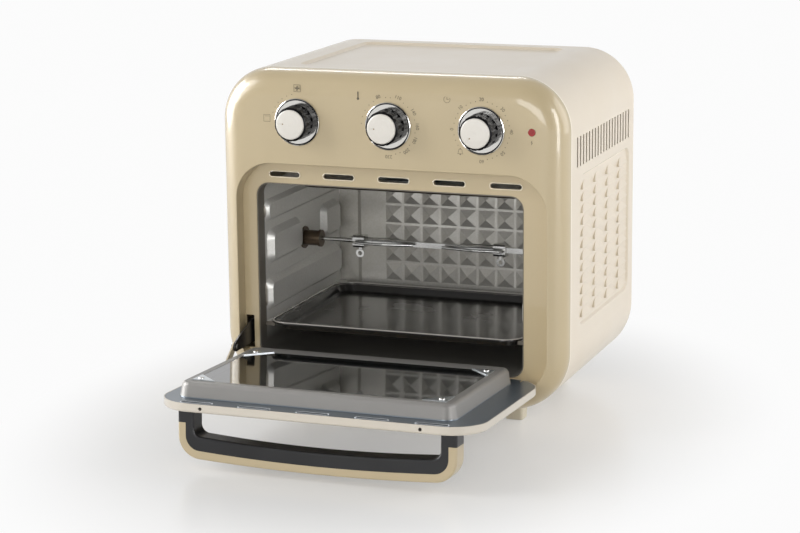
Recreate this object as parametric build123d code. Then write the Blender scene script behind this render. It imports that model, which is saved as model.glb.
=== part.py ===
from build123d import *
import math
import os

# Countertop oven with a drop-down front door, in millimetres.
# X runs to the right, Y to the back and Z up. While it is modelled, Y = 0 is the fascia's front
# plane and Z = 0 is the surface that the feet stand on. save() moves Y to the middle of the part.

# Body
body_width = 340.0
body_top = 334.0
foot_height = 22.0
fascia_depth = 21.0
shell_rear = 240.0
corner_top = 50.0
corner_low = 58.0
fascia_roll = 16.0
fascia_wall = 2.4
lip_round = 0.8
sheet = 1.0
seam = 0.3
half_width = body_width / 2
inner_low = foot_height + sheet

# Door recess, cavity opening and the slots over it
recess_side = 17.0
recess_below = 19.1
recess_above = 88.9
recess_depth = 16.2
recess_corner = 36.0
recess_width = body_width - 2 * recess_side
recess_low = foot_height + recess_below
recess_high = body_top - recess_above
skin_back = recess_depth + fascia_wall
jamb_left = 14.15
jamb_right = 26.35
sill = 10.9
header = 21.3
opening_corner = 13.0
opening_left = -recess_width / 2 + jamb_left
opening_right = recess_width / 2 - jamb_right
opening_low = recess_low + sill
opening_high = recess_high - header
opening_centre = (opening_left + opening_right) / 2
steam_slots = 5
steam_slot_length = 30.5
steam_slot_height = 5.0
steam_slot_side = 28.15
steam_slot_drop = 12.7
steam_slot_pitch = (recess_width - 2 * steam_slot_side - steam_slot_length) / (steam_slots - 1)
steam_slot_z = recess_high - steam_slot_drop

# Cavity
liner_sheet = 0.8
cavity_back_gap = 13.0
cavity_rear = shell_rear - cavity_back_gap
press_height = 6.0
press_round = 10.0
ridge_height = 4.5
pyramid_cell = 20.0
pyramid_rib = 2.4
pyramid_height = 3.6
pyramid_side = 48.0
pyramid_below = 35.0
pyramid_above = 14.0
back_step = 4.0
back_step_slope = 14.0
back_step_margin = 17.0
runner_reach = 9.0
runner_height = 4.0
runner_front = 30.0
runner_rear_gap = 5.0
liner_left = opening_left + seam + liner_sheet
liner_right = opening_right - seam - liner_sheet
liner_low = opening_low + seam + liner_sheet
liner_high = opening_high - seam - liner_sheet
liner_front = recess_depth + 0.4

# Outer shell: side slots, side panels with louvres, and the top panel
side_slots = 19
side_slot_width = 4.0
side_slot_length = 27.9
side_slot_drop = 57.4
side_slot_front = 18.5
side_slot_back = 16.5
side_slot_high = body_top - side_slot_drop
side_slot_low = side_slot_high - side_slot_length
side_slot_first = fascia_depth + side_slot_front
side_slot_last = shell_rear - side_slot_back
panel_margin_front = 29.0
panel_margin_rear = 15.0
panel_margin_low = 75.0
panel_margin_high = 94.0
panel_front = fascia_depth + panel_margin_front
panel_rear = shell_rear - panel_margin_rear
panel_low = foot_height + panel_margin_low
panel_high = body_top - panel_margin_high
panel_depth = 2.0
panel_round = 12.0
louvre_columns = 4
louvre_rows = 12
louvre_length = 30.0
louvre_height = 7.5
louvre_reach = 2.6
louvre_margin_y = 8.75
louvre_margin_z = 7.25
louvre_rim_y = 1.2
louvre_rim_z = 1.4
louvre_pitch_y = (panel_rear - panel_front - 2 * louvre_margin_y - louvre_length) / (louvre_columns - 1)
louvre_pitch_z = (panel_high - panel_low - 2 * louvre_margin_z - louvre_height) / (louvre_rows - 1)
top_panel_side = 65.0
top_panel_back = 19.0
top_panel_depth = 2.5
top_panel_front = fascia_depth + top_panel_back

# Base, feet and back
base_edge = 85.0
base_gap_half = half_width - base_edge
base_lap = 12.0
foot_inset = 66.0
foot_behind_fascia = 45.0
foot_before_rear = 35.0
foot_x = half_width - foot_inset
foot_front_y = fascia_depth + foot_behind_fascia
foot_rear_y = shell_rear - foot_before_rear
foot_width = 19.0
back_panel_depth = 11.0
back_box_side = 36.0
back_box_below = 27.0
back_box_above = 29.0
back_box_corner = 26.0
back_vent_length = 28.0
back_vent_height = 3.6
back_vent_x = 36.0
back_vent_pitch = 9.0
back_vent_drop = 72.0
back_vent_rise = 88.0
inlet_x = half_width - 58.0
inlet_z = foot_height + 52.0
inlet_radius = 6.5
inlet_lip = 2.4
body_rear = shell_rear + sheet + back_panel_depth

# Controls
knob_centre = 1.5
knob_pitch = 90.0
knob_drop = 48.3
knob_x = (knob_centre - knob_pitch, knob_centre, knob_centre + knob_pitch)
knob_names = ("function", "temperature", "timer")
knob_z = body_top - knob_drop
knob_flange = 44.5
knob_body = 32.6
knob_cap = 27.5
knob_reach = 20.0
knob_flutes = 15
knob_gap = 0.5
knob_seat = 1.8
knob_rest = (-85.0, -90.0, -133.0)
shaft_radius = 3.0
bearing_gap = 0.05
bracket_y = 9.0
bracket_sheet = 1.2
bracket_past_first = 33.5
bracket_past_last = 34.5
bracket_under = 25.7
bracket_over = 26.3
bracket_left = knob_x[0] - bracket_past_first
bracket_right = knob_x[2] + bracket_past_last
bracket_low = knob_z - bracket_under
bracket_high = knob_z + bracket_over
bracket_inset = 7.0
lamp_side = 31.0
lamp_x = half_width - lamp_side
lamp_z = knob_z + 0.3
lamp_radius = 3.5

# Door. Its own frame has the hinge axis as X, N towards the cavity and L up when it is shut.
hinge_y = -3.64
hinge_rise = 8.15
hinge_z = recess_low + hinge_rise
door_droop = 2.55
door_gap = 1.5
door_outer_n = -2.19
door_flange_n = 5.94
door_skin = 0.8
door_edge_round = 2.6
door_half = recess_width / 2 - door_gap
door_low = recess_low + door_gap - hinge_z
door_high = recess_high - door_gap - hinge_z
door_corner = recess_corner - door_gap
door_open_angle = 90.0 - door_droop
frame_height = 14.0
frame_bevel = 3.0
frame_corner = 9.0
frame_round = 4.5
frame_clearance = 1.7
frame_above_sill = 1.25
frame_below_header = 0.75
frame_low = opening_low + frame_above_sill - hinge_z
frame_high = opening_high - frame_below_header - hinge_z
frame_left = opening_left + frame_clearance
frame_right = opening_right - frame_clearance
frame_top_n = door_flange_n + frame_height
window_ledge = 9.0
glass_thickness = 3.2
glass_rise = 24.0
glass_low = frame_low + glass_rise
glass_margin = 8.8
glass_corner = 4.0
flange_slot_drop = 5.85
flange_slot_l = door_high - flange_slot_drop
flange_slot_height = 5.0
flange_slot_side = 26.45
flange_slot_pitch = 2 * (door_half - flange_slot_side - steam_slot_length / 2) / (steam_slots - 1)
rim_hole_x = (-door_half + 47.5, door_half - 50.5)
rim_hole_radius = 1.6
clip_leg = 22.0
clip_sheet = 0.7
clip_screw_in = 5.5
clip_screw_head = 1.1
screw_radius = 2.0
screw_head_radius = 3.4
screw_head_height = 1.8

# Handle. Depths are measured from the door's outer face.
handle_side = 20.9
handle_half = door_half - handle_side
handle_from_edge = 11.0
handle_thickness = 20.0
handle_drop = 43.5
handle_bow = 4.6
handle_corner = 21.0
handle_round = 2.0
handle_trim_width = 7.5
handle_trim_start = 12.0
handle_leg = 15.0
handle_bar_inner = 23.5

# Hinge pins and ears
pin_radius = 1.3
pin_length = 10.0
ear_side = 21.5
ear_x = door_half - ear_side
ear_sheet = 1.6
ear_radius = 3.2
ear_side_gap = 0.5

# Door link, on the left only
link_pin_l = 19.0
link_pin_n = 21.0
link_pin_radius = 1.5
link_boss = 4.0
strap_side = 1.9
strap_x = -door_half + strap_side
strap_sheet = 1.4
strap_base_low = 30.0
strap_base_high = 44.0
arm_sheet = 1.5
arm_gap = 0.3
arm_under_slot = 4.8
arm_tail_y = 46.0
link_slot_side = 0.5
link_slot_width = 8.5
link_slot_rise = 12.25
link_slot_length = 32.0
link_slot_left = -recess_width / 2 + link_slot_side
link_slot_right = link_slot_left + link_slot_width
link_slot_low = hinge_z + link_slot_rise
link_slot_high = link_slot_low + link_slot_length

# Tray
tray_above_floor = 34.0
tray_rim_z = opening_low + tray_above_floor
tray_depth = 7.3
tray_sheet = 1.0
tray_behind_door = 3.8
tray_before_wall = 18.0
tray_side_gap = 3.65
tray_front = recess_depth + tray_behind_door
tray_rear = cavity_rear - tray_before_wall
tray_width = liner_right - liner_left - 2 * tray_side_gap
tray_rim = 7.0
tray_bead = 2.4
tray_bead_height = 1.2
tray_corner = 20.0
tray_slope = 3.0

# Spit and its drive
spit_before_wall = 97.0
spit_above_floor = 96.0
spit_y = cavity_rear - spit_before_wall
spit_z = opening_low + spit_above_floor
spit_square = 5.0
spit_end_radius = 2.0
spit_end_length = 53.2
holder_length = 19.0
holder_radius = 7.5
holder_base_radius = 11.0
socket_radius = 5.5
socket_length = 15.0
drive_hole_radius = 6.5
motor_post = 3.35
motor_x = opening_right + motor_post
motor_thickness = 18.0
motor_radius = 25.0
fork_x = (liner_left + 59.75, liner_right - 57.55)
fork_hub = 12.0
fork_hub_half = 6.0
prong_spread = 11.0
prong_length = 62.0
prong_radius = 1.4

# Fan, its housing and its motor
fan_x = opening_centre
fan_y = cavity_rear - 92.0
fan_opening_radius = 62.0
fan_radius = 56.0
fan_blades = 6
fan_blade_height = 13.0
fan_clearance = 3.0
housing_radius = 70.0
housing_flange = 8.0
housing_height = 23.0
guard_radius = 74.0
guard_sheet = 0.8
guard_slots = 24
fan_shaft_radius = 2.5
bridge_height = 29.0
bridge_half = 86.0
bridge_depth = 44.0

# Heating elements. Their runs are measured forward from the cavity's rear end.
element_radius = 3.25
element_bend = 16.0
upper_element_drop = 9.0
lower_element_rise = 11.0
element_wall_gap = 14.0
upper_element_y = [cavity_rear - run for run in (155.0, 119.0, 51.0, 15.0)]
lower_element_y = [cavity_rear - run for run in (123.0, 35.0)]
bush_radius = 6.0

# The lowest outer edge of the open door is the front of the part.
droop = math.radians(door_droop)
part_front = hinge_y - door_high * math.cos(droop) + door_outer_n * math.sin(droop)
origin_y = (part_front + body_rear + inlet_lip) / 2

os.makedirs("parts", exist_ok=True)


# Small helpers

def save(name, shape):
    """Write one node with Y measured from the middle of the part."""
    export_step(Pos(0, -origin_y, 0) * shape, f"parts/{name}.step")


def outline(left, right, low, high, corner_below, corner_above=None):
    """Flat face in X and Z with rounded corners."""
    above = corner_below if corner_above is None else corner_above
    points = [(left, low), (right, low), (right, high), (left, high)]
    return make_face(FilletPolyline(*points, radius=[corner_below, corner_below, above, above], close=True))


def slab(face, front, rear):
    """Carry a face drawn in X and Z from one Y to another."""
    plane = Plane(origin=(0, front, 0), x_dir=(1, 0, 0), z_dir=(0, -1, 0))
    return extrude(plane * face, amount=front - rear)


def raised(face, front, rear, taper):
    """A slab whose outline shrinks towards rear. Rear may lie before front."""
    plane = Plane(origin=(0, front, 0), x_dir=(1, 0, 0), z_dir=(0, -1, 0))
    return extrude(plane * face, amount=front - rear, taper=taper)


def block(x0, x1, y0, y1, z0, z1):
    return Pos((x0 + x1) / 2, (y0 + y1) / 2, (z0 + z1) / 2) * Box(x1 - x0, y1 - y0, z1 - z0)


def rod_x(x0, x1, y, z, radius):
    return Pos((x0 + x1) / 2, y, z) * Rot(0, 90, 0) * Cylinder(radius, x1 - x0)


def rod_y(x, y0, y1, z, radius):
    return Pos(x, (y0 + y1) / 2, z) * Rot(90, 0, 0) * Cylinder(radius, y1 - y0)


def rod_z(x, y, z0, z1, radius):
    return Pos(x, y, (z0 + z1) / 2) * Cylinder(radius, z1 - z0)


def long_hole(x, z, length, height, front, rear):
    """A slot with round ends, along X, cut through in Y."""
    face = Pos(x, z) * SlotOverall(length, height)
    return slab(face, front, rear)


def front_rim(shape):
    """Outer edges of the foremost face."""
    return shape.faces().sort_by(Axis.Y)[0].outer_wire().edges()


def side_face(x, front, rear, low, high, corner, facing):
    """Rounded face in Y and Z at x, whose normal points along facing * X."""
    y_mid = (front + rear) / 2
    z_mid = (low + high) / 2
    plane = Plane(origin=(x, y_mid, z_mid), x_dir=(0, facing, 0), z_dir=(facing, 0, 0))
    return plane * RectangleRounded(rear - front, high - low, corner)


def level_face(z, left, right, front, rear, corner, facing):
    """Rounded face in X and Y at z, whose normal points along facing * Z."""
    plane = Plane(origin=((left + right) / 2, (front + rear) / 2, z), x_dir=(1, 0, 0), z_dir=(0, 0, facing))
    return plane * RectangleRounded(right - left, rear - front, corner)


def tube(points, bends, radius):
    """Round bar along straight runs joined by bends."""
    path = FilletPolyline(*points, radius=bends)
    return sweep((path ^ 0) * Circle(radius), path=path)


# Fascia

def front_fascia():
    """Pillow-edged front, with a recess for the door and the cavity opening in its floor."""
    outer = slab(outline(-half_width, half_width, foot_height, body_top, corner_low, corner_top), 0, fascia_depth)
    outer = fillet(front_rim(outer), fascia_roll)
    wall = fascia_wall
    hollow = slab(
        outline(-half_width + wall, half_width - wall, foot_height + wall, body_top - wall,
                corner_low - wall, corner_top - wall),
        wall, fascia_depth)
    hollow = fillet(front_rim(hollow), fascia_roll - wall)
    recess_half = recess_width / 2
    pan = slab(
        outline(-recess_half - wall, recess_half + wall, recess_low - wall, recess_high + wall,
                recess_corner + wall),
        1.0, skin_back)
    pocket = slab(outline(-recess_half, recess_half, recess_low, recess_high, recess_corner), -1, recess_depth)
    fascia = outer - hollow + pan - pocket
    for x in (bracket_left + bracket_inset, bracket_right - bracket_inset):
        for z in (bracket_low + bracket_inset, bracket_high - bracket_inset):
            fascia += rod_y(x, wall / 2, bracket_y, z, 4.0)
    fascia -= slab(outline(opening_left, opening_right, opening_low, opening_high, opening_corner), 0, skin_back + 1)
    first = -(steam_slots - 1) / 2
    for index in range(steam_slots):
        x = (first + index) * steam_slot_pitch
        fascia -= long_hole(x, steam_slot_z, steam_slot_length, steam_slot_height, recess_depth - 1, skin_back + 1)
    fascia -= slab(outline(link_slot_left, link_slot_right, link_slot_low, link_slot_high, 1.0), 1, skin_back + 1)
    for x in knob_x:
        fascia -= rod_y(x, -1, wall + 1, knob_z, shaft_radius + 0.6)
    fascia -= rod_y(lamp_x, -1, wall + 1, lamp_z, lamp_radius + 0.1)
    for side in (-1, 1):
        fascia -= block(side * ear_x - 1.5, side * ear_x + 1.5, recess_depth - 1, skin_back + 1,
                        ear_root_low() - 0.5, ear_root_high() + 0.5)
    lip = fascia.faces().sort_by(Axis.Y)[0].inner_wires().sort_by(SortBy.LENGTH)[-1].edges()
    return fillet(lip, lip_round)


def ear_root_low():
    return recess_low + 3.6


def ear_root_high():
    return recess_low + 8.6


# Shell, base, feet and back

def louvre_outline(length, height):
    """Half moon in Y and Z: straight slit below, arc above."""
    chord = Line((-length / 2, 0), (length / 2, 0))
    arc = ThreePointArc((length / 2, 0), (0, height), (-length / 2, 0))
    return make_face([chord, arc])


def louvre(length, height, reach):
    """Hood that stands out by reach at its slit and fades to nothing at its arc."""
    hood = extrude(Plane.YZ * louvre_outline(length, height), amount=reach)
    slope = Plane(origin=(reach, 0, 0), x_dir=(0, 1, 0), z_dir=(height, 0, reach))
    return split(hood, bisect_by=slope, keep=Keep.BOTTOM)


def panel_floor_x():
    return half_width - panel_depth


def louvre_places():
    middle_y = (panel_front + panel_rear) / 2
    middle_z = (panel_low + panel_high) / 2
    for column in range(louvre_columns):
        for row in range(louvre_rows):
            y = middle_y + (column - (louvre_columns - 1) / 2) * louvre_pitch_y
            z = middle_z + (row - (louvre_rows - 1) / 2) * louvre_pitch_z - louvre_height / 2
            yield y, z


def outer_shell():
    """Wrapped cover: top, sides and rounded lower edges, with pressed panels, slots and louvres."""
    outer = slab(outline(-half_width, half_width, foot_height, body_top, corner_low, corner_top),
                 fascia_depth, shell_rear)
    inner = slab(
        outline(-half_width + sheet, half_width - sheet, foot_height + sheet, body_top - sheet,
                corner_low - sheet, corner_top - sheet),
        fascia_depth - 1, shell_rear + 1)
    top_half = half_width - top_panel_side
    top_face = level_face(body_top, -top_half, top_half, top_panel_front, panel_rear, panel_round, -1)
    top_press = extrude(top_face, amount=top_panel_depth, taper=45)
    top_back = level_face(body_top - sheet, -top_half - sheet, top_half + sheet,
                          top_panel_front - sheet, panel_rear + sheet, panel_round + sheet, -1)
    outer -= top_press
    inner -= extrude(top_back, amount=top_panel_depth, taper=45)
    hoods = []
    slits = []
    for y, z in louvre_places():
        hoods.append(Pos(panel_floor_x(), y, z) * louvre(louvre_length, louvre_height, louvre_reach))
        opened = louvre(louvre_length - 2 * louvre_rim_y, louvre_height - louvre_rim_z, louvre_reach - 0.7)
        slits.append(Pos(panel_floor_x() - sheet - 0.4, y, z - 0.01)
                     * extrude(Plane.YZ * louvre_outline(louvre_length - 2 * louvre_rim_y, 2.2), amount=sheet + 0.5))
        slits.append(Pos(panel_floor_x(), y, z - 0.01) * opened)
    hoods = Compound(hoods)
    slits = Compound(slits)
    shell_right = side_face(half_width, panel_front, panel_rear, panel_low, panel_high, panel_round, -1)
    press = extrude(shell_right, amount=panel_depth, taper=45)
    back_face = side_face(half_width - sheet, panel_front - sheet, panel_rear + sheet,
                          panel_low - sheet, panel_high + sheet, panel_round + sheet, -1)
    press_back = extrude(back_face, amount=panel_depth, taper=45)
    for mirrored in (False, True):
        cut = mirror(press, about=Plane.YZ) if mirrored else press
        keep = mirror(press_back, about=Plane.YZ) if mirrored else press_back
        outer -= cut
        inner -= keep
    shell = outer - inner
    slots = []
    pitch = (side_slot_last - side_slot_first - side_slot_width) / (side_slots - 1)
    for index in range(side_slots):
        y = side_slot_first + index * pitch
        slots.append(block(-half_width - 1, half_width + 1, y, y + side_slot_width, side_slot_low, side_slot_high))
    shell -= Compound(slots)
    for mirrored in (False, True):
        hood = mirror(hoods, about=Plane.YZ) if mirrored else hoods
        slit = mirror(slits, about=Plane.YZ) if mirrored else slits
        shell = shell + hood - slit
    shell -= block(-base_gap_half, base_gap_half, fascia_depth - 1, shell_rear + 1,
                   foot_height - 1, foot_height + sheet + 1)
    return shell


def base_plate():
    """Bottom cover, lapped on the shell's inner flanges, with a grid of cooling slots."""
    reach = base_gap_half + base_lap
    plate = block(-reach, reach, fascia_depth + seam, shell_rear - seam, inner_low, inner_low + sheet)
    for row in range(5):
        for column in range(6):
            x = (column - 2.5) * 24
            y = 80 + row * 22
            slot = Pos(x, y, inner_low) * extrude(SlotOverall(18, 4), amount=sheet)
            plate -= slot
    return plate


def foot():
    """Square moulded foot, narrower below, with a screw recess underneath."""
    top = Pos(0, 0, foot_height) * RectangleRounded(foot_width, foot_width, 4)
    body = extrude(top, amount=-foot_height, taper=3)
    body -= Pos(0, 0, 3) * Cylinder(4.0, 6)
    return body - Pos(0, 0, foot_height / 2) * Cylinder(1.8, foot_height)


def back_cover():
    """Rear plate with a hollow pressed box over the wiring, vents and the cord's inlet."""
    rear = shell_rear
    plate = slab(outline(-half_width, half_width, foot_height, body_top, corner_low, corner_top), rear, rear + sheet)
    side, low, high = half_width - back_box_side, foot_height + back_box_below, body_top - back_box_above
    plate += raised(outline(-side, side, low, high, back_box_corner), rear + sheet, body_rear, 20)
    inside = outline(-side + sheet, side - sheet, low + sheet, high - sheet, back_box_corner - sheet)
    plate -= raised(inside, rear, body_rear - sheet, 20)
    vents = []
    for top, rows in ((body_top - back_vent_drop, 7), (foot_height + back_vent_rise, 4)):
        for row in range(rows):
            for column in range(-2, 3):
                vents.append(long_hole(column * back_vent_x, top - row * back_vent_pitch, back_vent_length,
                                       back_vent_height, rear, body_rear + 1))
    plate -= Compound(vents)
    return plate - rod_y(inlet_x, rear - 1, body_rear + 1, inlet_z, inlet_radius)


def cord_inlet():
    """Grommet in the back cover that the mains cord passes through."""
    outside = rod_y(inlet_x, body_rear, body_rear + inlet_lip, inlet_z, inlet_radius + 2.5)
    neck = rod_y(inlet_x, body_rear - sheet - 1.6, body_rear, inlet_z, inlet_radius - 0.05)
    inside = rod_y(inlet_x, body_rear - sheet - 4.0, body_rear - sheet - 1.6, inlet_z, inlet_radius + 1.2)
    bore = rod_y(inlet_x, body_rear - 9, body_rear + 4, inlet_z, 3.6)
    return outside + neck + inside - bore


# Cavity

def wall_pressing(front, rear, low, high, height, corner):
    """Sheet boss on the left cavity wall: the form to add and the hollow behind it."""
    add = extrude(side_face(liner_left, front, rear, low, high, corner, 1), amount=height, taper=40)
    t = liner_sheet
    hollow = extrude(side_face(liner_left - t, front + t, rear - t, low + t, high - t, corner - t, 1),
                     amount=height, taper=40)
    return add, hollow


def cavity_liner():
    """Pressed sheet tube round the cavity, with bosses, runners for the tray and a fan opening."""
    t = liner_sheet
    left, right = opening_left + seam, opening_right - seam
    low, high = opening_low + seam, opening_high - seam
    corner = opening_corner - seam
    liner = slab(outline(left, right, low, high, corner), liner_front, cavity_rear)
    liner -= slab(outline(left + t, right - t, low + t, high - t, corner - t), liner_front - 1, cavity_rear + 1)
    across = Plane(origin=(opening_centre, 0, 0), x_dir=(0, 1, 0), z_dir=(1, 0, 0))
    front_end, rear_end = runner_front, cavity_rear - runner_rear_gap
    places = [
        (front_end + 6, spit_y - 14, spit_z - 9, spit_z + 25, press_height),
        (spit_y + 42, rear_end - 4, spit_z - 11, spit_z + 25, press_height),
        (front_end, rear_end - 2, spit_z - 54, spit_z - 22, press_height),
        (front_end, rear_end - 2, spit_z + 33, spit_z + 55, ridge_height),
    ]
    for front, rear, low_z, high_z, height in places:
        corner_here = min(press_round, (high_z - low_z) / 2 - 0.5)
        add, hollow = wall_pressing(front, rear, low_z, high_z, height, corner_here)
        liner = liner + add - hollow
        liner = liner + mirror(add, about=across) - mirror(hollow, about=across)
    top = runner_top()
    runner = block(liner_left - 0.1, liner_left + runner_reach, front_end, rear_end, top - runner_height, top)
    runner -= block(liner_left - 1, liner_left + runner_reach - t, front_end + t, rear_end - t,
                    top - runner_height - 1, top - t)
    liner = liner + runner + mirror(runner, about=across)
    liner -= rod_z(fan_x, fan_y, liner_high - 1, liner_high + 2, fan_opening_radius)
    liner -= rod_x(liner_right - 8, liner_right + 3, spit_y, spit_z, drive_hole_radius)
    for y, z in element_ends():
        liner -= rod_x(liner_right - 8, liner_right + 3, y, z, bush_radius - 2)
    return liner


def runner_top():
    return tray_rim_z - tray_sheet - seam


def ridge_profile(start, count, cell, height, base, rear):
    """Row of ridges between flat ribs, with a flat back, for one direction of the pyramid grid."""
    points = [(start, base)]
    for index in range(count):
        foot = start + index * cell
        points.append((foot + pyramid_rib / 2, base))
        points.append((foot + cell / 2, base - height))
        points.append((foot + cell - pyramid_rib / 2, base))
    points += [(start + count * cell, base), (start + count * cell, rear), (start, rear)]
    return make_face(Polyline(*points, close=True))


def cavity_back_wall():
    """Rear wall of the cavity: a stepped panel, pressed in a grid of square pyramids between flat ribs."""
    t = liner_sheet
    gap = 0.1
    left, right = liner_left + gap, liner_right - gap
    low, high = liner_low + gap, liner_high - gap
    across = int((right - left - 2 * pyramid_side) // pyramid_cell)
    upward = int((high - low - pyramid_below - pyramid_above) // pyramid_cell)
    start_x = (left + right - across * pyramid_cell) / 2
    start_z = low + pyramid_below
    end_z = start_z + upward * pyramid_cell
    end_x = start_x + across * pyramid_cell
    base = cavity_rear - t
    wall = slab(outline(left, right, low, high, opening_corner - seam - t - gap), base - t, base)
    base -= t
    reach = back_step_margin + back_step_slope
    foot_face = outline(start_x - reach, end_x + reach, start_z - back_step_slope - 2, end_z + 6, 6)
    step = raised(foot_face, base, base - back_step, math.degrees(math.atan2(5.0, back_step)))
    step_behind = Pos(0, t, 0) * step
    wall = wall + step - step_behind
    base -= back_step
    columns = extrude(
        Plane(origin=(0, 0, start_z), x_dir=(1, 0, 0), z_dir=(0, 0, 1))
        * ridge_profile(start_x, across, pyramid_cell, pyramid_height, base, base + 2), amount=end_z - start_z)
    rows_face = Plane(origin=(start_x, 0, 0), x_dir=(0, 0, 1), z_dir=(-1, 0, 0))
    rows = extrude(rows_face * ridge_profile(start_z, upward, pyramid_cell, pyramid_height, base, base + 2),
                   amount=-(end_x - start_x))
    relief = columns & rows
    behind = Pos(0, t, 0) * relief
    return wall + (relief - behind) - behind


def element_ends():
    """Places on the right wall where the elements pass through, as Y and Z."""
    upper = liner_high - upper_element_drop
    lower = liner_low + lower_element_rise
    return [(upper_element_y[0], upper), (upper_element_y[3], upper), (lower_element_y[0], lower), (lower_element_y[1], lower)]


def element(ends, turn_y):
    """Tubular heater from the right wall, to the left and back, as a U or a W."""
    (y0, z0), (y1, z1) = ends
    out = opening_right + 10
    reach = liner_left + element_wall_gap + press_height
    points = [(out, y0, z0), (reach, y0, z0)]
    if turn_y is not None:
        inner = liner_right - element_wall_gap - 20
        points += [(reach, turn_y[0], z0), (inner, turn_y[0], z0), (inner, turn_y[1], z0), (reach, turn_y[1], z0)]
    points += [(reach, y1, z1), (out, y1, z1)]
    return tube(points, element_bend, element_radius)


def element_bushes():
    """Ceramic bushes round the element ends at the right wall."""
    bushes = []
    for y, z in element_ends():
        wall = opening_right - seam
        bush = rod_x(wall, wall + 3, y, z, bush_radius) + rod_x(wall - 0.8, wall + 8, y, z, bush_radius - 2.05)
        bushes.append(bush - rod_x(wall - 2, wall + 9, y, z, element_radius + 0.05))
    return Compound(bushes)


# Fan

def ring_slots(count, inner, outer, width, z0, z1):
    slots = []
    for index in range(count):
        arm = block(inner, outer, -width / 2, width / 2, z0, z1)
        slots.append(Rot(0, 0, index * 360 / count) * arm)
    return slots


def fan_guard():
    """Disc with two rings of slots below the fan opening."""
    top = liner_high
    low = top - guard_sheet
    disc = rod_z(0, 0, low, top, guard_radius)
    disc -= Compound(ring_slots(guard_slots, 34, 58, 5, low - 1, top + 1))
    disc -= Compound(ring_slots(guard_slots // 2, 12, 29, 5, low - 1, top + 1))
    return Pos(fan_x, fan_y, 0) * disc


def fan_housing():
    """Shallow dish over the fan, flanged on the liner's roof."""
    low = opening_high - seam
    top = low + housing_height
    t = liner_sheet
    dish = rod_z(0, 0, low, low + t, housing_radius + housing_flange)
    outer = Pos(0, 0, low) * extrude(Circle(housing_radius), amount=housing_height, taper=8)
    inner = Pos(0, 0, low - t) * extrude(Circle(housing_radius - t), amount=housing_height, taper=8)
    dish = dish + outer - inner - rod_z(0, 0, top - 3, top + 1, fan_shaft_radius + 1.5)
    return Pos(fan_x, fan_y, 0) * dish


def fan_blade():
    """Pressed radial fan: a disc with blades turned down and a hub."""
    top = opening_high - seam + housing_height - liner_sheet - fan_clearance
    disc = rod_z(0, 0, top - 1.2, top, fan_radius * 0.62)
    for index in range(fan_blades):
        vane = block(9, fan_radius, -0.6, 0.6, top - fan_blade_height, top)
        vane = Rot(0, 0, index * 360 / fan_blades) * (Rot(18, 0, 0) * (Pos(0, 0, -top) * vane))
        disc += Pos(0, 0, top) * vane
    disc += rod_z(0, 0, top - 9, top, 7)
    disc -= rod_z(0, 0, top - 20, top + 1, fan_shaft_radius)
    disc = disc & rod_z(0, 0, top - fan_blade_height, top, fan_radius)
    return Pos(fan_x, fan_y, 0) * disc


def fan_shaft():
    """Rotor and shaft of the fan motor, with the nut that clamps the fan."""
    top = bridge_top() + 40
    low = opening_high - seam + housing_height - liner_sheet - fan_clearance - 14
    shaft = rod_z(0, 0, low, top, fan_shaft_radius)
    shaft += rod_z(0, 0, bridge_top() + 12, bridge_top() + 30, 10)
    nut = extrude(Pos(0, 0, low) * RegularPolygon(4.5, 6), amount=4.5)
    return Pos(fan_x, fan_y, 0) * (shaft + nut)


def bridge_top():
    return opening_high - seam + bridge_height


def motor_bracket():
    """Bridge over the fan housing that carries the fan motor."""
    low = opening_high - seam
    top = bridge_top()
    depth = bridge_depth / 2
    t = bracket_sheet
    bridge = block(-bridge_half, bridge_half, -depth, depth, top - t, top)
    for side in (-1, 1):
        inner = side * (bridge_half - t)
        outer = side * bridge_half
        bridge += block(min(inner, outer), max(inner, outer), -depth, depth, low, top)
        foot_end = side * (bridge_half + 12)
        bridge += block(min(inner, foot_end), max(inner, foot_end), -depth, depth, low, low + t)
    bridge -= rod_z(0, 0, top - 3, top + 1, fan_shaft_radius + bearing_gap)
    return Pos(fan_x, fan_y, 0) * bridge


def fan_motor():
    """Shaded-pole motor: laminated frame with a rotor bore, coil and two bearing bridges."""
    low = bridge_top()
    core = block(-27, 27, -22, 40, low + 12, low + 30)
    core -= rod_z(0, 0, low, low + 40, 10.4)
    core -= block(-17, 17, 14, 30, low, low + 40)
    coil = fillet(block(-20, 20, 15.5, 28.5, low + 6, low + 36).edges().filter_by(Axis.Z), 2)
    motor = core
    for z0, z1 in ((low, low + 12), (low + 30, low + 38)):
        strap = block(-25, 25, -6, 6, z0, z1)
        strap -= block(-19, 19, -7, 7, z0 + (2 if z0 == low else -1), z1 - (-1 if z0 == low else 2))
        strap -= rod_z(0, 0, z0 - 1, z1 + 1, fan_shaft_radius + bearing_gap)
        motor += strap
    return Pos(fan_x, fan_y, 0) * (motor + coil)


# Spit and its drive

def spit_holder():
    """Cup on the left wall that carries the spit's round end."""
    left = liner_left
    cup = rod_x(left, left + 1.5, spit_y, spit_z, holder_base_radius)
    cup += rod_x(left, left + holder_length, spit_y, spit_z, holder_radius)
    cup += rod_x(left + holder_length - 2.5, left + holder_length, spit_y, spit_z, holder_radius + 1)
    return cup - rod_x(left + 4, left + holder_length + 1, spit_y, spit_z, spit_end_radius + bearing_gap)


def spit():
    """Square rod with a round left end and a short collar."""
    left = liner_left + 6
    start = liner_left + spit_end_length
    end = liner_right - socket_length + 12
    half = spit_square / 2
    rod = rod_x(left, start, spit_y, spit_z, spit_end_radius)
    rod += block(start, end, spit_y - half, spit_y + half, spit_z - half, spit_z + half)
    return chamfer(rod.faces().sort_by(Axis.X)[-1].edges(), 1.0)


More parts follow.
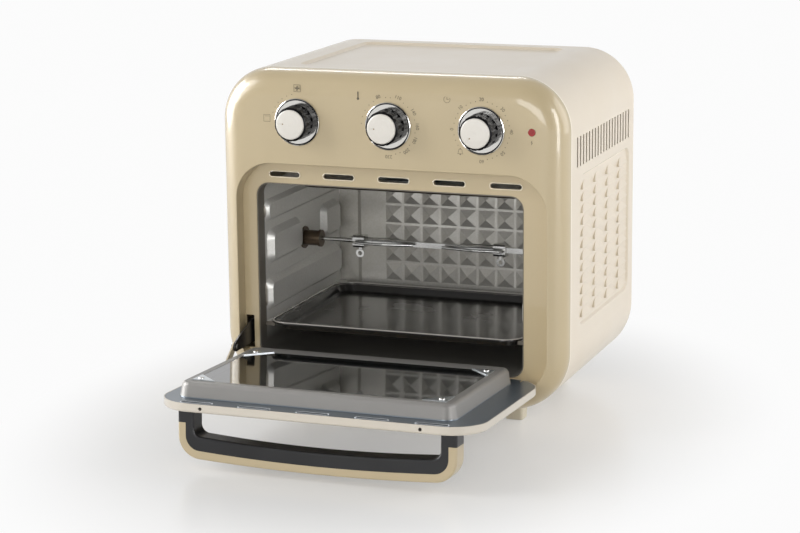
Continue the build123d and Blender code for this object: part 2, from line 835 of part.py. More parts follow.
def drive_socket():
    """Turned socket through the right wall: square bore in front, shank in the gear motor behind."""
    start = liner_right - socket_length
    body = rod_x(start, motor_x - 0.4, spit_y, spit_z, socket_radius)
    body += rod_x(start, start + 3, spit_y, spit_z, socket_radius + 2)
    body += rod_x(motor_x - 1, motor_x + 8, spit_y, spit_z, 3.0)
    half = spit_square / 2 + 0.15
    return body - block(start - 1, start + 13, spit_y - half, spit_y + half, spit_z - half, spit_z + half)


def rotisserie_motor():
    """Flat synchronous gear motor on two posts beside the cavity."""
    case = rod_x(motor_x, motor_x + motor_thickness, spit_y, spit_z, motor_radius)
    case = fillet(case.faces().sort_by(Axis.X)[-1].edges(), 2)
    for side in (-1, 1):
        case += block(motor_x, motor_x + 1.2, spit_y - 8, spit_y + 8,
                      spit_z + min(side * 34, side * 20), spit_z + max(side * 34, side * 20))
        case += rod_x(opening_right - seam, motor_x, spit_y, spit_z + side * 29, 3)
    case -= rod_x(motor_x - 1, motor_x + 9, spit_y, spit_z, 3.0 + bearing_gap)
    return case


def spit_fork(x, inward):
    """Hub on the spit with two bent prongs that point inwards."""
    half = spit_square / 2 + 0.15
    reach = fork_hub_half
    hub = block(x - fork_hub / 2, x + fork_hub / 2, spit_y - reach, spit_y + reach, spit_z - reach, spit_z + reach)
    hub = fillet(hub.edges().filter_by(Axis.X), 2.5)
    root = x - inward * (fork_hub / 2 - prong_radius - 0.4)
    for side in (-1, 1):
        out_y = spit_y + side * prong_spread
        points = [
            (root, spit_y + side * (reach - 1.5), spit_z),
            (root, out_y, spit_z),
            (root + inward * prong_length * 0.5, out_y + side * 1.5, spit_z),
            (root + inward * prong_length, out_y - side * 4, spit_z),
        ]
        hub += tube(points, [4, 20], prong_radius)
    hub -= block(x - 20, x + 20, spit_y - half, spit_y + half, spit_z - half, spit_z + half)
    return hub - rod_z(x, spit_y, spit_z - reach - 2, spit_z - 2, 1.5)


def fork_screws():
    """Ring-headed screws that clamp the forks on the spit from below."""
    screws = []
    for x in fork_x:
        head = spit_z - fork_hub_half - 0.3
        shank = rod_z(x, spit_y, head - 1, spit_z - spit_square / 2 - 0.1, 1.48)
        neck = rod_z(x, spit_y, head - 2.6, head, 2.6)
        ring = rod_y(x, spit_y - 1, spit_y + 1, head - 6.0, 4.2) - rod_y(x, spit_y - 2, spit_y + 2, head - 6.0, 2.2)
        screws.append(shank + neck + ring)
    return Compound(screws)


# Tray

def bake_tray():
    """Shallow pressed tray with a flat rim, a rolled bead round it and sloping sides."""
    centre = opening_centre
    half = tray_width / 2
    rim = level_face(tray_rim_z, centre - half, centre + half, tray_front, tray_rear, tray_corner, -1)
    tray = extrude(rim, amount=tray_sheet)
    bead = extrude(rim, amount=-tray_bead_height)
    inside = level_face(tray_rim_z, centre - half + tray_bead, centre + half - tray_bead, tray_front + tray_bead,
                        tray_rear - tray_bead, tray_corner - tray_bead, -1)
    bead -= extrude(inside, amount=-tray_bead_height)
    tray += fillet(bead.faces().sort_by(Axis.Z)[-1].edges(), tray_bead_height - 0.1)
    inset = tray_rim - tray_sheet
    angle = math.degrees(math.atan2(tray_slope, tray_depth))
    basin = level_face(tray_rim_z, centre - half + inset, centre + half - inset, tray_front + inset,
                       tray_rear - inset, tray_corner - inset / 2, -1)
    tray += extrude(basin, amount=tray_depth, taper=angle)
    inset = tray_rim
    hollow = level_face(tray_rim_z, centre - half + inset, centre + half - inset, tray_front + inset,
                        tray_rear - inset, tray_corner - inset / 2 - 0.5, -1)
    return tray - extrude(hollow, amount=tray_depth - tray_sheet, taper=angle)


# Controls

def control_bracket():
    """Folded plate behind the fascia that carries the three controls and the lamp holder."""
    t = bracket_sheet
    plate = block(bracket_left, bracket_right, bracket_y, bracket_y + t, bracket_low, bracket_high)
    plate += block(bracket_left, bracket_right, bracket_y, bracket_y + 9, bracket_low, bracket_low + t)
    plate += block(bracket_right - t, lamp_x + 13, bracket_y, bracket_y + t, lamp_z - 9, lamp_z + 9)
    for x in knob_x:
        plate -= rod_y(x, bracket_y - 1, bracket_y + t + 1, knob_z, shaft_radius + 1.6)
    for x in (bracket_left + bracket_inset, bracket_right - bracket_inset):
        for z in (bracket_low + bracket_inset, bracket_high - bracket_inset):
            plate -= rod_y(x, bracket_y - 1, bracket_y + t + 1, z, 1.7)
    return plate - rod_y(lamp_x, bracket_y - 1, bracket_y + t + 1, lamp_z, 3.4)


def control_body(x, width, height, depth, corner):
    """Housing of one control with its shaft bore and two terminals."""
    front = bracket_y + bracket_sheet
    face = Pos(x, knob_z) * RectangleRounded(width, height, corner)
    body = slab(face, front, front + depth)
    for side in (-1, 1):
        body += block(x + side * width / 4 - 3, x + side * width / 4 + 3, front + depth, front + depth + 8,
                      knob_z - 0.4, knob_z + 0.4)
    return body - rod_y(x, front - 1, front + depth * 0.7, knob_z, shaft_radius + bearing_gap)


def function_switch():
    body = control_body(knob_x[0], 38, 38, 22, 6)
    return body + rod_y(knob_x[0], bracket_y + 23, bracket_y + 29, knob_z, 12)


def thermostat():
    """Control housing with a pressure capsule at its back."""
    body = control_body(knob_x[1], 34, 36, 16, 3)
    return body + rod_y(knob_x[1], bracket_y + 17, bracket_y + 22, knob_z, 11)


def timer():
    """Mechanical timer with its bell cup at the back."""
    body = control_body(knob_x[2], 46, 48, 26, 4)
    return body + rod_y(knob_x[2], bracket_y + 27, bracket_y + 37, knob_z, 20)


def set_knob(index, shape):
    """Put a knob's piece on its axis, turned clockwise from straight up to its place at rest."""
    return Pos(knob_x[index], 0, knob_z) * Rot(0, knob_rest[index], 0) * shape


def knob_shaft():
    """D-section shaft from the control to the knob, with its flat upwards."""
    front = -knob_reach + 6
    rear = bracket_y + bracket_sheet + 11
    shaft = rod_y(0, front, rear, 0, shaft_radius)
    return shaft - block(-5, 5, front - 1, -knob_gap, shaft_radius - 1.2, 5)


def turned(points):
    """Revolve a profile of radius and reach about the knob's axis."""
    return revolve(make_face(Polyline(*points, close=True)), axis=Axis.Y)


def knob_base():
    """Flat bright flange with a thin raised rim, behind the grip."""
    edge = knob_flange / 2
    hub = knob_body / 2 - 2.3
    seat = -knob_seat
    points = [(hub, -knob_gap), (edge - 0.7, -knob_gap), (edge, -knob_gap - 0.7), (edge - 0.1, seat - 0.4),
              (edge - 0.6, seat - 0.8), (edge - 1.2, seat - 0.6), (edge - 1.9, seat), (hub, seat)]
    return turned(points)


def knob_grip():
    """Fluted grip with a D bore for the shaft."""
    body = knob_body / 2
    cap = knob_cap / 2
    back = -knob_gap - 1.2
    front = -knob_reach + 1.6
    seat = -knob_seat - 0.05
    points = [(0, back), (body - 2.35, back), (body - 2.35, seat), (body, seat), (body - 0.4, front + 1.2),
              (body - 1.6, front), (cap + 0.15, front), (cap + 0.15, front + 2.0), (0, front + 2.0)]
    grip = turned(points)
    flutes = []
    for index in range(knob_flutes):
        angle = 2 * math.pi * index / knob_flutes
        reach = body + 2.0
        flutes.append(rod_y(reach * math.cos(angle), front - 1, seat - 1.2, reach * math.sin(angle), 2.9))
    grip -= Compound(flutes)
    bore = rod_y(0, -knob_reach + 5.9, 0, 0, shaft_radius + 0.02)
    bore -= block(-5, 5, -knob_reach, 0, shaft_radius - 1.18, 5)
    return grip - bore


def knob_face():
    """Shallow domed cap with a pointer groove."""
    cap = knob_cap / 2
    back = -knob_reach + 1.6 + 1.95
    points = [(0, back), (cap, back), (cap, -knob_reach + 0.9), (cap - 0.9, -knob_reach + 0.2),
              (cap * 0.6, -knob_reach - 0.4), (0, -knob_reach - 0.6)]
    face = turned(points)
    return face - block(-0.5, 0.5, -knob_reach - 1, -knob_reach + 0.3, cap * 0.48, cap * 0.76)


def lamp_lens():
    """Domed indicator lens in the fascia."""
    lens = rod_y(lamp_x, -0.6, bracket_y, lamp_z, lamp_radius)
    return fillet(lens.faces().sort_by(Axis.Y)[0].edges(), 0.5)


def lamp_holder():
    """Neon holder behind the lens."""
    return rod_y(lamp_x, bracket_y, bracket_y + 16, lamp_z, 3.3) + rod_y(
        lamp_x, bracket_y + bracket_sheet, bracket_y + 4, lamp_z, 5)


# Door, drawn shut with the hinge axis at the origin: x = X, y = N, z = L

def open_door(shape):
    """Turn a shape of the door's frame to its place on the open door."""
    return Location((0, hinge_y, hinge_z), (door_open_angle, 0, 0)) * shape


def window_outline(grow=0.0):
    """Edge of the window opening in the raised frame."""
    inset = frame_bevel + glass_margin + window_ledge - grow
    return outline(frame_left + inset, frame_right - inset, glass_low + window_ledge - grow,
                   frame_high - inset, 6)


def notch(side, front, rear):
    """Room for one hinge ear in the door's lower edge."""
    gap = ear_sheet / 2 + ear_side_gap
    return block(side * ear_x - gap, side * ear_x + gap, front, rear, door_low - 1, ear_radius + 1.0)


def door_outer_panel():
    """Painted pan with a folded rim, a window edge turned inwards and bearings for the pins."""
    face = outline(-door_half, door_half, door_low, door_high, door_corner)
    pan = slab(face, door_outer_n, door_flange_n)
    pan = fillet(front_rim(pan), door_edge_round)
    t = door_skin
    inner = outline(-door_half + t, door_half - t, door_low + t, door_high - t, door_corner - t)
    hollow = slab(inner, door_outer_n + t, door_flange_n + 1)
    hollow = fillet(front_rim(hollow), door_edge_round - t)
    pan -= hollow
    pan += slab(window_outline(2.0), door_outer_n + t / 2, door_flange_n + 3)
    pan -= slab(window_outline(2.0 - t), door_outer_n - 1, door_flange_n + 4)
    for side in (-1, 1):
        for offset in (-1, 1):
            tab = side * ear_x + offset * (ear_sheet / 2 + ear_side_gap + 1.1)
            pan += block(tab - 1, tab + 1, door_outer_n + t / 2, door_flange_n - 1.6, -3.0, 3.0)
        pan -= notch(side, door_outer_n - 1, door_flange_n + 1)
        pan -= rod_x(side * ear_x - pin_length / 2, side * ear_x + pin_length / 2, 0, 0, pin_radius + 0.02)
    for x in rim_hole_x:
        pan -= Pos(x, (door_outer_n + door_flange_n) / 2, door_high) * Cylinder(rim_hole_radius, 6)
    for x, l in handle_screw_places():
        pan -= rod_y(x, door_outer_n - 1, door_outer_n + 3, l, screw_radius + 0.1)
    return open_door(pan)


def frame_solid(shrink, top_n, low_n):
    """Block of the raised window frame with a rounded top edge, shrunk all round."""
    slope = math.degrees(math.atan2(frame_bevel, frame_height))
    face = outline(frame_left + shrink, frame_right - shrink, frame_low + shrink, frame_high - shrink,
                   frame_corner + frame_bevel - shrink)
    plane = Plane(origin=(0, low_n, 0), x_dir=(-1, 0, 0), z_dir=(0, 1, 0))
    solid = extrude(plane * mirror(face, about=Plane.YZ), amount=top_n - low_n, taper=slope)
    return fillet(solid.faces().sort_by(Axis.Y)[-1].edges(), frame_round - shrink)


def glass_pocket(grow, low_n, high_n):
    left = frame_left + frame_bevel + glass_margin - grow
    right = frame_right - frame_bevel - glass_margin + grow
    face = outline(left, right, glass_low - grow, frame_high - frame_bevel - glass_margin + grow,
                   glass_corner + grow)
    return slab(face, low_n, high_n)


def door_inner_frame():
    """Pressed steel panel: flange with five slots and the raised frame that seats the glass."""
    t = door_skin
    edge = door_skin + seam
    flange_face = outline(-door_half + edge, door_half - edge, door_low + edge, door_high - edge,
                          door_corner - edge)
    panel = slab(flange_face, door_flange_n - t, door_flange_n)
    top = frame_top_n
    seat = top - glass_thickness - 0.1
    panel += frame_solid(0, top, door_flange_n)
    core = frame_solid(t, top - t, door_flange_n - t)
    core -= glass_pocket(t, seat - t, top + 1)
    panel -= core
    panel -= glass_pocket(0, seat, top + 1)
    panel -= slab(window_outline(), door_flange_n - 2, top + 1)
    first = -(steam_slots - 1) / 2
    for index in range(steam_slots):
        x = (first + index) * flange_slot_pitch
        panel -= long_hole(x, flange_slot_l, steam_slot_length, flange_slot_height,
                           door_flange_n - 2, door_flange_n + 1)
    for side in (-1, 1):
        panel -= notch(side, door_flange_n - 2, door_flange_n + 1)
    return open_door(panel)


def door_glass():
    """Tempered pane in the frame's pocket."""
    top = frame_top_n
    return open_door(glass_pocket(-0.3, top - glass_thickness - 0.1, top - 0.1))


def clip_places():
    """Corners of the glass, with the directions that lead inwards."""
    left = frame_left + frame_bevel + glass_margin
    right = frame_right - frame_bevel - glass_margin
    low = glass_low
    high = frame_high - frame_bevel - glass_margin
    return [(left, low, 1, 1), (right, low, -1, 1), (left, high, 1, -1), (right, high, -1, -1)]


def glass_clips():
    """Triangular corner plates that hold the glass down."""
    clips = []
    for x, l, dx, dl in clip_places():
        a = (x - dx * 0.6, l - dl * 0.6)
        points = [a, (a[0] + dx * clip_leg, a[1]), (a[0], a[1] + dl * clip_leg)]
        face = make_face(Polyline(*points, close=True))
        plate = slab(face, frame_top_n, frame_top_n + clip_sheet)
        clips.append(plate - rod_y(x + dx * clip_screw_in, frame_top_n - 1, frame_top_n + 2, l + dl * clip_screw_in,
                                   screw_radius - 0.5))
    return open_door(Compound(clips))


def handle_screw_places():
    """Screws from inside the pan into the handle's legs."""
    l = door_high - handle_from_edge - handle_thickness / 2
    x = handle_half - handle_leg / 2
    return [(-x, l), (x, l)]


def door_screws():
    """Pan-head screws of the glass clips and the handle."""
    screws = []
    for x, l, dx, dl in clip_places():
        x += dx * clip_screw_in
        l += dl * clip_screw_in
        top = frame_top_n + clip_sheet
        head = rod_y(x, top, top + clip_screw_head, l, screw_head_radius - 0.8)
        head = fillet(head.faces().sort_by(Axis.Y)[-1].edges(), 0.8)
        screws.append(head + rod_y(x, frame_top_n, top, l, screw_radius - 0.55))
    for x, l in handle_screw_places():
        face = door_outer_n + door_skin
        screws.append(rod_y(x, face, face + 2.2, l, screw_head_radius) + rod_y(x, face - 12, face, l, screw_radius))
    return open_door(Compound(screws))


def handle_face(half, drop, bow, corner):
    """Outline of the handle down to a bowed lower edge, as X against minus depth."""
    side_left = Line((-half, 0), (-half, -drop))
    bottom = ThreePointArc((-half, -drop), (0, -drop - bow), (half, -drop))
    side_right = Line((half, -drop), (half, 0))
    top = Line((half, 0), (-half, 0))
    face = make_face([side_left, bottom, side_right, top])
    low = face.vertices().sort_by(Axis.Y)[:2]
    return fillet(low, corner)


def handle_solid(face):
    """Give a handle face its thickness along L, at its place under the door's edge."""
    high = door_high - handle_from_edge
    plane = Plane(origin=(0, door_outer_n, high), x_dir=(1, 0, 0), z_dir=(0, 0, 1))
    return extrude(plane * face, amount=-handle_thickness)


def handle_core():
    """Part of the handle's outline that belongs to the grip."""
    core = handle_face(handle_half - handle_trim_width, handle_drop - handle_trim_width, handle_bow,
                       handle_corner - handle_trim_width)
    return core + Pos(0, -handle_trim_start / 2) * Rectangle(2 * handle_half + 2, handle_trim_start)


def handle_blank():
    """Grip and trim together, with rounded edges away from the door."""
    inner = handle_face(handle_half - handle_leg, handle_bar_inner, handle_bow + 0.2, 8)
    blank = handle_solid(handle_face(handle_half, handle_drop, handle_bow, handle_corner) - inner)
    ends = blank.faces().sort_by(Axis.Z)
    edges = [edge for face in (ends[0], ends[-1]) for edge in face.edges()
             if edge.center().Y < door_outer_n - 0.1]
    return fillet(edges, handle_round)


def handle_grip():
    """Black moulded bow: two legs and a bar, stepped for the trim."""
    grip = handle_blank() & handle_solid(handle_core())
    for x, l in handle_screw_places():
        grip -= rod_y(x, door_outer_n - 12.2, door_outer_n + 1, l, screw_radius + 0.02)
    return open_door(grip)


def handle_trim():
    """Cream outer strip that wraps the grip."""
    return open_door(handle_blank() - handle_solid(handle_core()))


# Hinges and link

def hinge_pins():
    """Pins fixed in the door's bearings."""
    pins = []
    for side in (-1, 1):
        pins.append(rod_x(side * ear_x - pin_length / 2, side * ear_x + pin_length / 2, 0, 0, pin_radius))
    return open_door(Compound(pins))


def hinge_brackets():
    """Steel ears that come forward through the recess floor, with a tab behind it."""
    brackets = []
    for side in (-1, 1):
        x0 = side * ear_x - ear_sheet / 2
        rear = skin_back + ear_sheet
        low, high = ear_root_low(), ear_root_high()
        profile = Polyline((hinge_y, hinge_z - ear_radius), (4, low), (rear, low), (rear, high),
                           (hinge_y, hinge_z + ear_radius), close=True)
        plane = Plane(origin=(x0, 0, 0), x_dir=(0, 1, 0), z_dir=(1, 0, 0))
        ear = extrude(plane * make_face(profile), amount=ear_sheet)
        ear += rod_x(x0, x0 + ear_sheet, hinge_y, hinge_z, ear_radius)
        inner = side * (ear_x - 18)
        edge = side * (ear_x + ear_sheet / 2)
        ear += block(min(inner, edge), max(inner, edge), skin_back, rear, low, high)
        brackets.append(ear - rod_x(x0 - 1, x0 + 3, hinge_y, hinge_z, pin_radius + bearing_gap))
    return Compound(brackets)


def link_strap():
    """Bent strap riveted to the door's flange, with the link's pivot at its top."""
    points = [(door_flange_n, strap_base_low), (door_flange_n, strap_base_high)]
    pin = (link_pin_n, link_pin_l)
    plate = Polyline(points[0], points[1], (pin[0] + 1.6, pin[1] + link_boss - 0.4),
                     (pin[0] - 1.6, pin[1] - link_boss + 0.4), close=True)
    plane = Plane(origin=(strap_x, 0, 0), x_dir=(0, 1, 0), z_dir=(1, 0, 0))
    strap = extrude(plane * make_face(plate), amount=strap_sheet)
    strap += rod_x(strap_x, strap_x + strap_sheet, pin[0], pin[1], link_boss)
    foot_right = strap_x + 9.5
    strap += block(strap_x, foot_right, door_flange_n, door_flange_n + strap_sheet, strap_base_low, strap_base_high)
    return open_door(strap - rod_x(strap_x - 1, strap_x + 3, pin[0], pin[1], link_pin_radius + 0.02))


def link_pin_place():
    """Y and Z of the link's pivot on the open door."""
    y = hinge_y - link_pin_l * math.cos(droop) + link_pin_n * math.sin(droop)
    z = hinge_z + link_pin_l * math.sin(droop) + link_pin_n * math.cos(droop)
    return y, z


def link_rivet():
    """Shouldered rivet through the strap and the arm."""
    y, z = link_pin_place()
    arm = strap_x + strap_sheet + arm_gap
    rivet = rod_x(strap_x - 1.2, arm + arm_sheet + 1.4, y, z, link_pin_radius)
    rivet += rod_x(strap_x - 1.2, strap_x, y, z, 2.8)
    return rivet + rod_x(arm + arm_sheet + 0.3, arm + arm_sheet + 1.4, y, z, 2.6)


def link_arm():
    """Curved black arm that runs from the strap into the slot beside the cavity."""
    y, z = link_pin_place()
    x = strap_x + strap_sheet + arm_gap
    top = link_slot_high - arm_under_slot
    low = z - 4.8
    upper = Spline((y - 3.2, z + 3.6), (y + 8.0, z + 8.6), (-1.0, z + 12.6), (8.0, top - 1.9), (18.0, top))
    edge = [
        upper,
        Line((18.0, top), (arm_tail_y, top)),
        Line((arm_tail_y, top), (arm_tail_y, top - 11)),
        Line((arm_tail_y, top - 11), (24.0, low)),
        Line((24.0, low), (y, low)),
        Line((y, low), (y - 3.2, z + 3.6)),
    ]
    plane = Plane(origin=(x, 0, 0), x_dir=(0, 1, 0), z_dir=(1, 0, 0))
    arm = extrude(plane * make_face(edge), amount=arm_sheet)
    arm += rod_x(x, x + arm_sheet, y, z, 4.8)
    return arm - rod_x(x - 1, x + 3, y, z, link_pin_radius + bearing_gap)


# Small inner parts and screws

def terminal_block():
    """Three-way terminal block on the base plate, near the cord's inlet."""
    z0 = inner_low + sheet
    middle, rear = inlet_x - 37, shell_rear - 16
    body = block(middle - 17, middle + 17, rear - 18, rear, z0, z0 + 12)
    for index in (-1, 0, 1):
        x = middle + index * 11
        body += rod_z(x, rear - 13, z0 + 12, z0 + 15, 3.4)
        body -= rod_z(x, rear - 13, z0 + 8, z0 + 16, 1.9)
    return body


def body_screws():
    """Screws of the back cover and of the control bracket."""
    screws = []
    rear = shell_rear + sheet
    for inset, z in ((20, foot_height + 158), (60, body_top - 16), (86, foot_height + 10)):
        for x in (inset - half_width, half_width - inset):
            screws.append(rod_y(x, rear, rear + screw_head_height, z, screw_head_radius))
    back = bracket_y + bracket_sheet
    for x in (bracket_left + bracket_inset, bracket_right - bracket_inset):
        for z in (bracket_low + bracket_inset, bracket_high - bracket_inset):
            screws.append(rod_y(x, back, back + screw_head_height, z, screw_head_radius)
                          + rod_y(x, bracket_y, back, z, 1.65))
    return Compound(screws)


save("front_fascia", front_fascia())
save("outer_shell", outer_shell())
save("base_plate", base_plate())
for row, y in (("front", foot_front_y), ("rear", foot_rear_y)):
    save(f"foot_{row}_left", Pos(-foot_x, y, 0) * foot())
    save(f"foot_{row}_right", Pos(foot_x, y, 0) * foot())
save("back_cover", back_cover())
save("cord_inlet", cord_inlet())
save("cavity_liner", cavity_liner())
save("cavity_back_wall", cavity_back_wall())
save("upper_element", element(element_ends()[:2], upper_element_y[1:3]))
save("lower_element", element(element_ends()[2:], None))
save("element_bushes", element_bushes())
save("fan_guard", fan_guard())
save("fan_housing", fan_housing())
save("fan_blade", fan_blade())
save("fan_shaft", fan_shaft())
save("fan_motor", fan_motor())
save("motor_bracket", motor_bracket())
save("spit_holder", spit_holder())
save("spit", spit())
save("spit_fork_left", spit_fork(fork_x[0], 1))
save("spit_fork_right", spit_fork(fork_x[1], -1))
save("fork_screws", fork_screws())
save("drive_socket", drive_socket())
save("rotisserie_motor", rotisserie_motor())
save("bake_tray", bake_tray())
save("control_bracket", control_bracket())
save("function_switch", function_switch())
save("thermostat", thermostat())
save("timer", timer())
for index, name in enumerate(knob_names):
    save(f"{name}_shaft", set_knob(index, knob_shaft()))
    save(f"{name}_knob_base", set_knob(index, knob_base()))
    save(f"{name}_knob_grip", set_knob(index, knob_grip()))
    save(f"{name}_knob_cap", set_knob(index, knob_face()))
save("lamp_lens", lamp_lens())
save("lamp_holder", lamp_holder())
save("door_outer_panel", door_outer_panel())
save("door_inner_frame", door_inner_frame())
save("door_glass", door_glass())
save("glass_clips", glass_clips())
save("door_screws", door_screws())
save("handle_grip", handle_grip())
save("handle_trim", handle_trim())
save("hinge_pins", hinge_pins())
save("hinge_brackets", hinge_brackets())
save("link_strap", link_strap())
save("link_arm", link_arm())
save("link_rivet", link_rivet())
save("terminal_block", terminal_block())
save("body_screws", body_screws())
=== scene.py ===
import math

import bpy
from mathutils import Matrix, Vector


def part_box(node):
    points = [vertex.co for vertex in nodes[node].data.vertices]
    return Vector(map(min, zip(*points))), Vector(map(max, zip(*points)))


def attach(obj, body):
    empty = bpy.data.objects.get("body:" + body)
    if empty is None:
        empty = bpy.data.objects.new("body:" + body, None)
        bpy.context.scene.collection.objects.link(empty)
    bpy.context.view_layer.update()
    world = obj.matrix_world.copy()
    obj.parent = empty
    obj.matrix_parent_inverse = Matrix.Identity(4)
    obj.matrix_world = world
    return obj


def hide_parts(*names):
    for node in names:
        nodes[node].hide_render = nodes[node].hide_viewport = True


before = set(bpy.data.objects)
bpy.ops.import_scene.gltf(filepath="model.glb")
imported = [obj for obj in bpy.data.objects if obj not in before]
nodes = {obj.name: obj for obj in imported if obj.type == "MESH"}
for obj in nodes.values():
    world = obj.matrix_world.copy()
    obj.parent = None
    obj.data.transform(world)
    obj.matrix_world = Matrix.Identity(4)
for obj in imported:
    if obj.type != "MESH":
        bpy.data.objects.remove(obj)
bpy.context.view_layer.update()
bpy.ops.object.select_all(action="DESELECT")

# Places shared with the solids, in metres
MM = 0.001
FASCIA_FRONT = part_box("front_fascia")[0].y
KNOB_X = {"function": -88.5 * MM, "temperature": 1.5 * MM, "timer": 91.5 * MM}
KNOB_Z = 285.7 * MM
LAMP_X, LAMP_Z = 139.0 * MM, 286.0 * MM
DOOR_DROOP = math.radians(2.55)
HINGE_Y, HINGE_Z = FASCIA_FRONT - 3.64 * MM, 49.25 * MM

# Where a second colour covers all and where it is gone, in metres along an axis: painted
# highlights on the shell's front seam and the tray's bead, painted shade at the liner's front and
# foot; the door's flange and frame are two real finishes
SHELL_SEAM_HIGHLIGHT = FASCIA_FRONT + 22.4 * MM, FASCIA_FRONT + 23.2 * MM
LINER_FRONT_SHADE = FASCIA_FRONT + 31.0 * MM, FASCIA_FRONT + 32.0 * MM
LINER_FOOT_SHADE = 66.0 * MM, 84.0 * MM
TRAY_BEAD_HIGHLIGHT = 86.6 * MM, 86.2 * MM
DOOR_FLANGE, DOOR_FRAME = 6.2 * MM, 7.4 * MM

# The fascia's outline and edge, in millimetres: its solid's, then the rounder edge of its copy
BODY_HALF, BODY_LOW, BODY_TOP = 170.0, 22.0, 334.0
CORNER_LOW, CORNER_TOP = 58.0, 50.0
FASCIA_DEPTH, SOLID_ROLL = 21.0, 16.0
ROUND_ACROSS, ROUND_DEEP = 24.0, 20.0
CUTS_IN_FROM_EDGE = range(15, 48, 3)
MERGE_UNDER, SMOOTH_UNDER = 0.001 * MM, math.radians(32)

# Slots, in millimetres, and the length, height and wire of the raised lip round each
SLOTS = (-2, -1, 0, 1, 2)
STEAM_PITCH, STEAM_BACK, STEAM_Z = 54.8, 16.2, 232.4
STEAM_LIP = 31.3, 5.8, 0.6
FLANGE_PITCH, FLANGE_OUT, FLANGE_ALONG = 54.9, 5.94, 188.5
FLANGE_LIP = 31.0, 5.5, 0.4

# Inlaid dots on the knob caps, at degrees clockwise from up
POINTER_TURN = {"function": -85, "temperature": -90, "timer": -133}
POINTER_REACH, POINTER_RADIUS, POINTER_SUNK = 6.6 * MM, 0.75 * MM, 0.35 * MM
POINTER_SHAPE = (1, 0.5, 1)

# Printed marks, in metres, at degrees clockwise from up
PRINT_THICKNESS = 0.05 * MM
DOT, LINE = 0.42 * MM, 0.32 * MM
NUMBER_SIZE, NUMBER_REACH = 4.6 * MM, 28.3 * MM
SIGN_SIZE = 6.4 * MM
ARC_STROKE, ARC_OVERLAP = 20, 1.12
FUNCTION_DOTS, FUNCTION_DOT_REACH = (-72, -60, -48, -36, -24, -12), 26.0 * MM
HEATS = {"80": -20, "110": 20, "140": 60, "160": 88, "180": 115, "200": 142, "230": 180}
HEAT_DOTS = (-87, -73, -59, -45, -33, -5, 5, 34, 46, 75, 101, 129, 155, 165)
HEAT_DOT_REACH = 26.5 * MM
MINUTES = {"0": -90, "10": -45, "20": 0, "30": 45, "40": 90, "50": 135, "60": 180}
MINUTE_STEPS, LAST_MINUTE_DOTS = (12, 22.5, 33), (-123, -112, -101)
MINUTE_DOT_REACH = 26.8 * MM

# Camera, fitted to the photograph's lines: degrees, millimetres of lens, metres
CAMERA_YAW, CAMERA_PITCH, CAMERA_ROLL = 20.23, 12.24, -0.56
CAMERA_LENS, CAMERA_SENSOR = 108.62, 36.0
CAMERA_PLACE = 0.7684, -2.081883, 0.62938
CAMERA_CLIP = 0.1, 50.0

# Surroundings: plain colours, and how the light leans across the sky
BACKDROP = (0.97, 0.97, 0.97, 1)
SKY_COLOUR, SKY_LEAN, SKY_LEVEL = (1.0, 0.99, 0.975, 1), (0.0, -0.30, -0.20), 0.42
MIRRORED_LEAN, MIRRORED_LEVEL = (-0.40, 0.55, -0.10), 0.66
FLOOR_COLOUR, FLOOR_ROUGHNESS = (0.94, 0.935, 0.92, 1), 0.22
FLOOR_SIZE, FLOOR_DROP = 8.0, 0.5 * MM
FLOOR_STRETCH = (1.3, 0.95, 1.0)
FADE_START, FADE_END, FADE_LEAST = 0.24, 0.48, 0.32

# Lamps: place, target, width, height in metres, power in watts, and whether only gloss sees it
LAMPS = {
    "left_key": ((-1.9, -1.1, 1.2), (0, 0, 0.15), 0.9, 1.4, 18.0, False),
    "front_fill": ((0.1, -2.5, 0.6), (0, 0.1, 0.16), 1.3, 0.8, 18.0, False),
    "right_box": ((2.0, 0.7, 0.9), (0.1, 0.1, 0.2), 1.8, 2.0, 30.0, False),
    "left_card": ((-2.0, -0.3, 0.5), (-0.1, 0, 0.2), 1.5, 2.0, 100.0, True),
    "right_card": ((1.7, -0.9, 0.4), (0.1, 0, 0.2), 0.5, 1.8, 26.0, True),
    "top_rear_card": ((-0.85, 1.45, 2.2), (0, 0, 0.33), 1.4, 0.4, 16.0, True),
}


# Shader nodes

def feed(tree, socket, value):
    """Link an input from another node's output, or set it to a plain value."""
    if isinstance(value, bpy.types.NodeSocket):
        tree.links.new(value, socket)
    else:
        socket.default_value = value


def add_node(tree, kind, settings=None, **values):
    """Add a node with its settings, and feed its inputs by name."""
    node = tree.nodes.new(kind)
    for setting, choice in (settings or {}).items():
        setattr(node, setting, choice)
    for label, value in values.items():
        feed(tree, node.inputs[label.replace("_", " ")], value)
    return node


def add_math(tree, kind, operation, *values, **settings):
    """Add a Math or Vector Math node with its operation, and feed its inputs in order."""
    node = add_node(tree, kind, {"operation": operation, **settings})
    for socket, value in zip(node.inputs, values):
        feed(tree, socket, value)
    return node


def number_node(tree, operation, *values, **settings):
    """Output of a Math node."""
    return add_math(tree, "ShaderNodeMath", operation, *values, **settings).outputs[0]


def vector_node(tree, operation, *values):
    return add_math(tree, "ShaderNodeVectorMath", operation, *values)


def mix_colours(tree, share, first, second):
    mix = add_node(tree, "ShaderNodeMix", {"data_type": "RGBA"}, Factor=share, A=first, B=second)
    return mix.outputs["Result"]


def mix_shaders(tree, share, first, second):
    mix = tree.nodes.new("ShaderNodeMixShader")
    for socket, output in zip(mix.inputs, (share, first, second)):
        tree.links.new(output, socket)
    return mix.outputs[0]


# Camera, light, floor and background

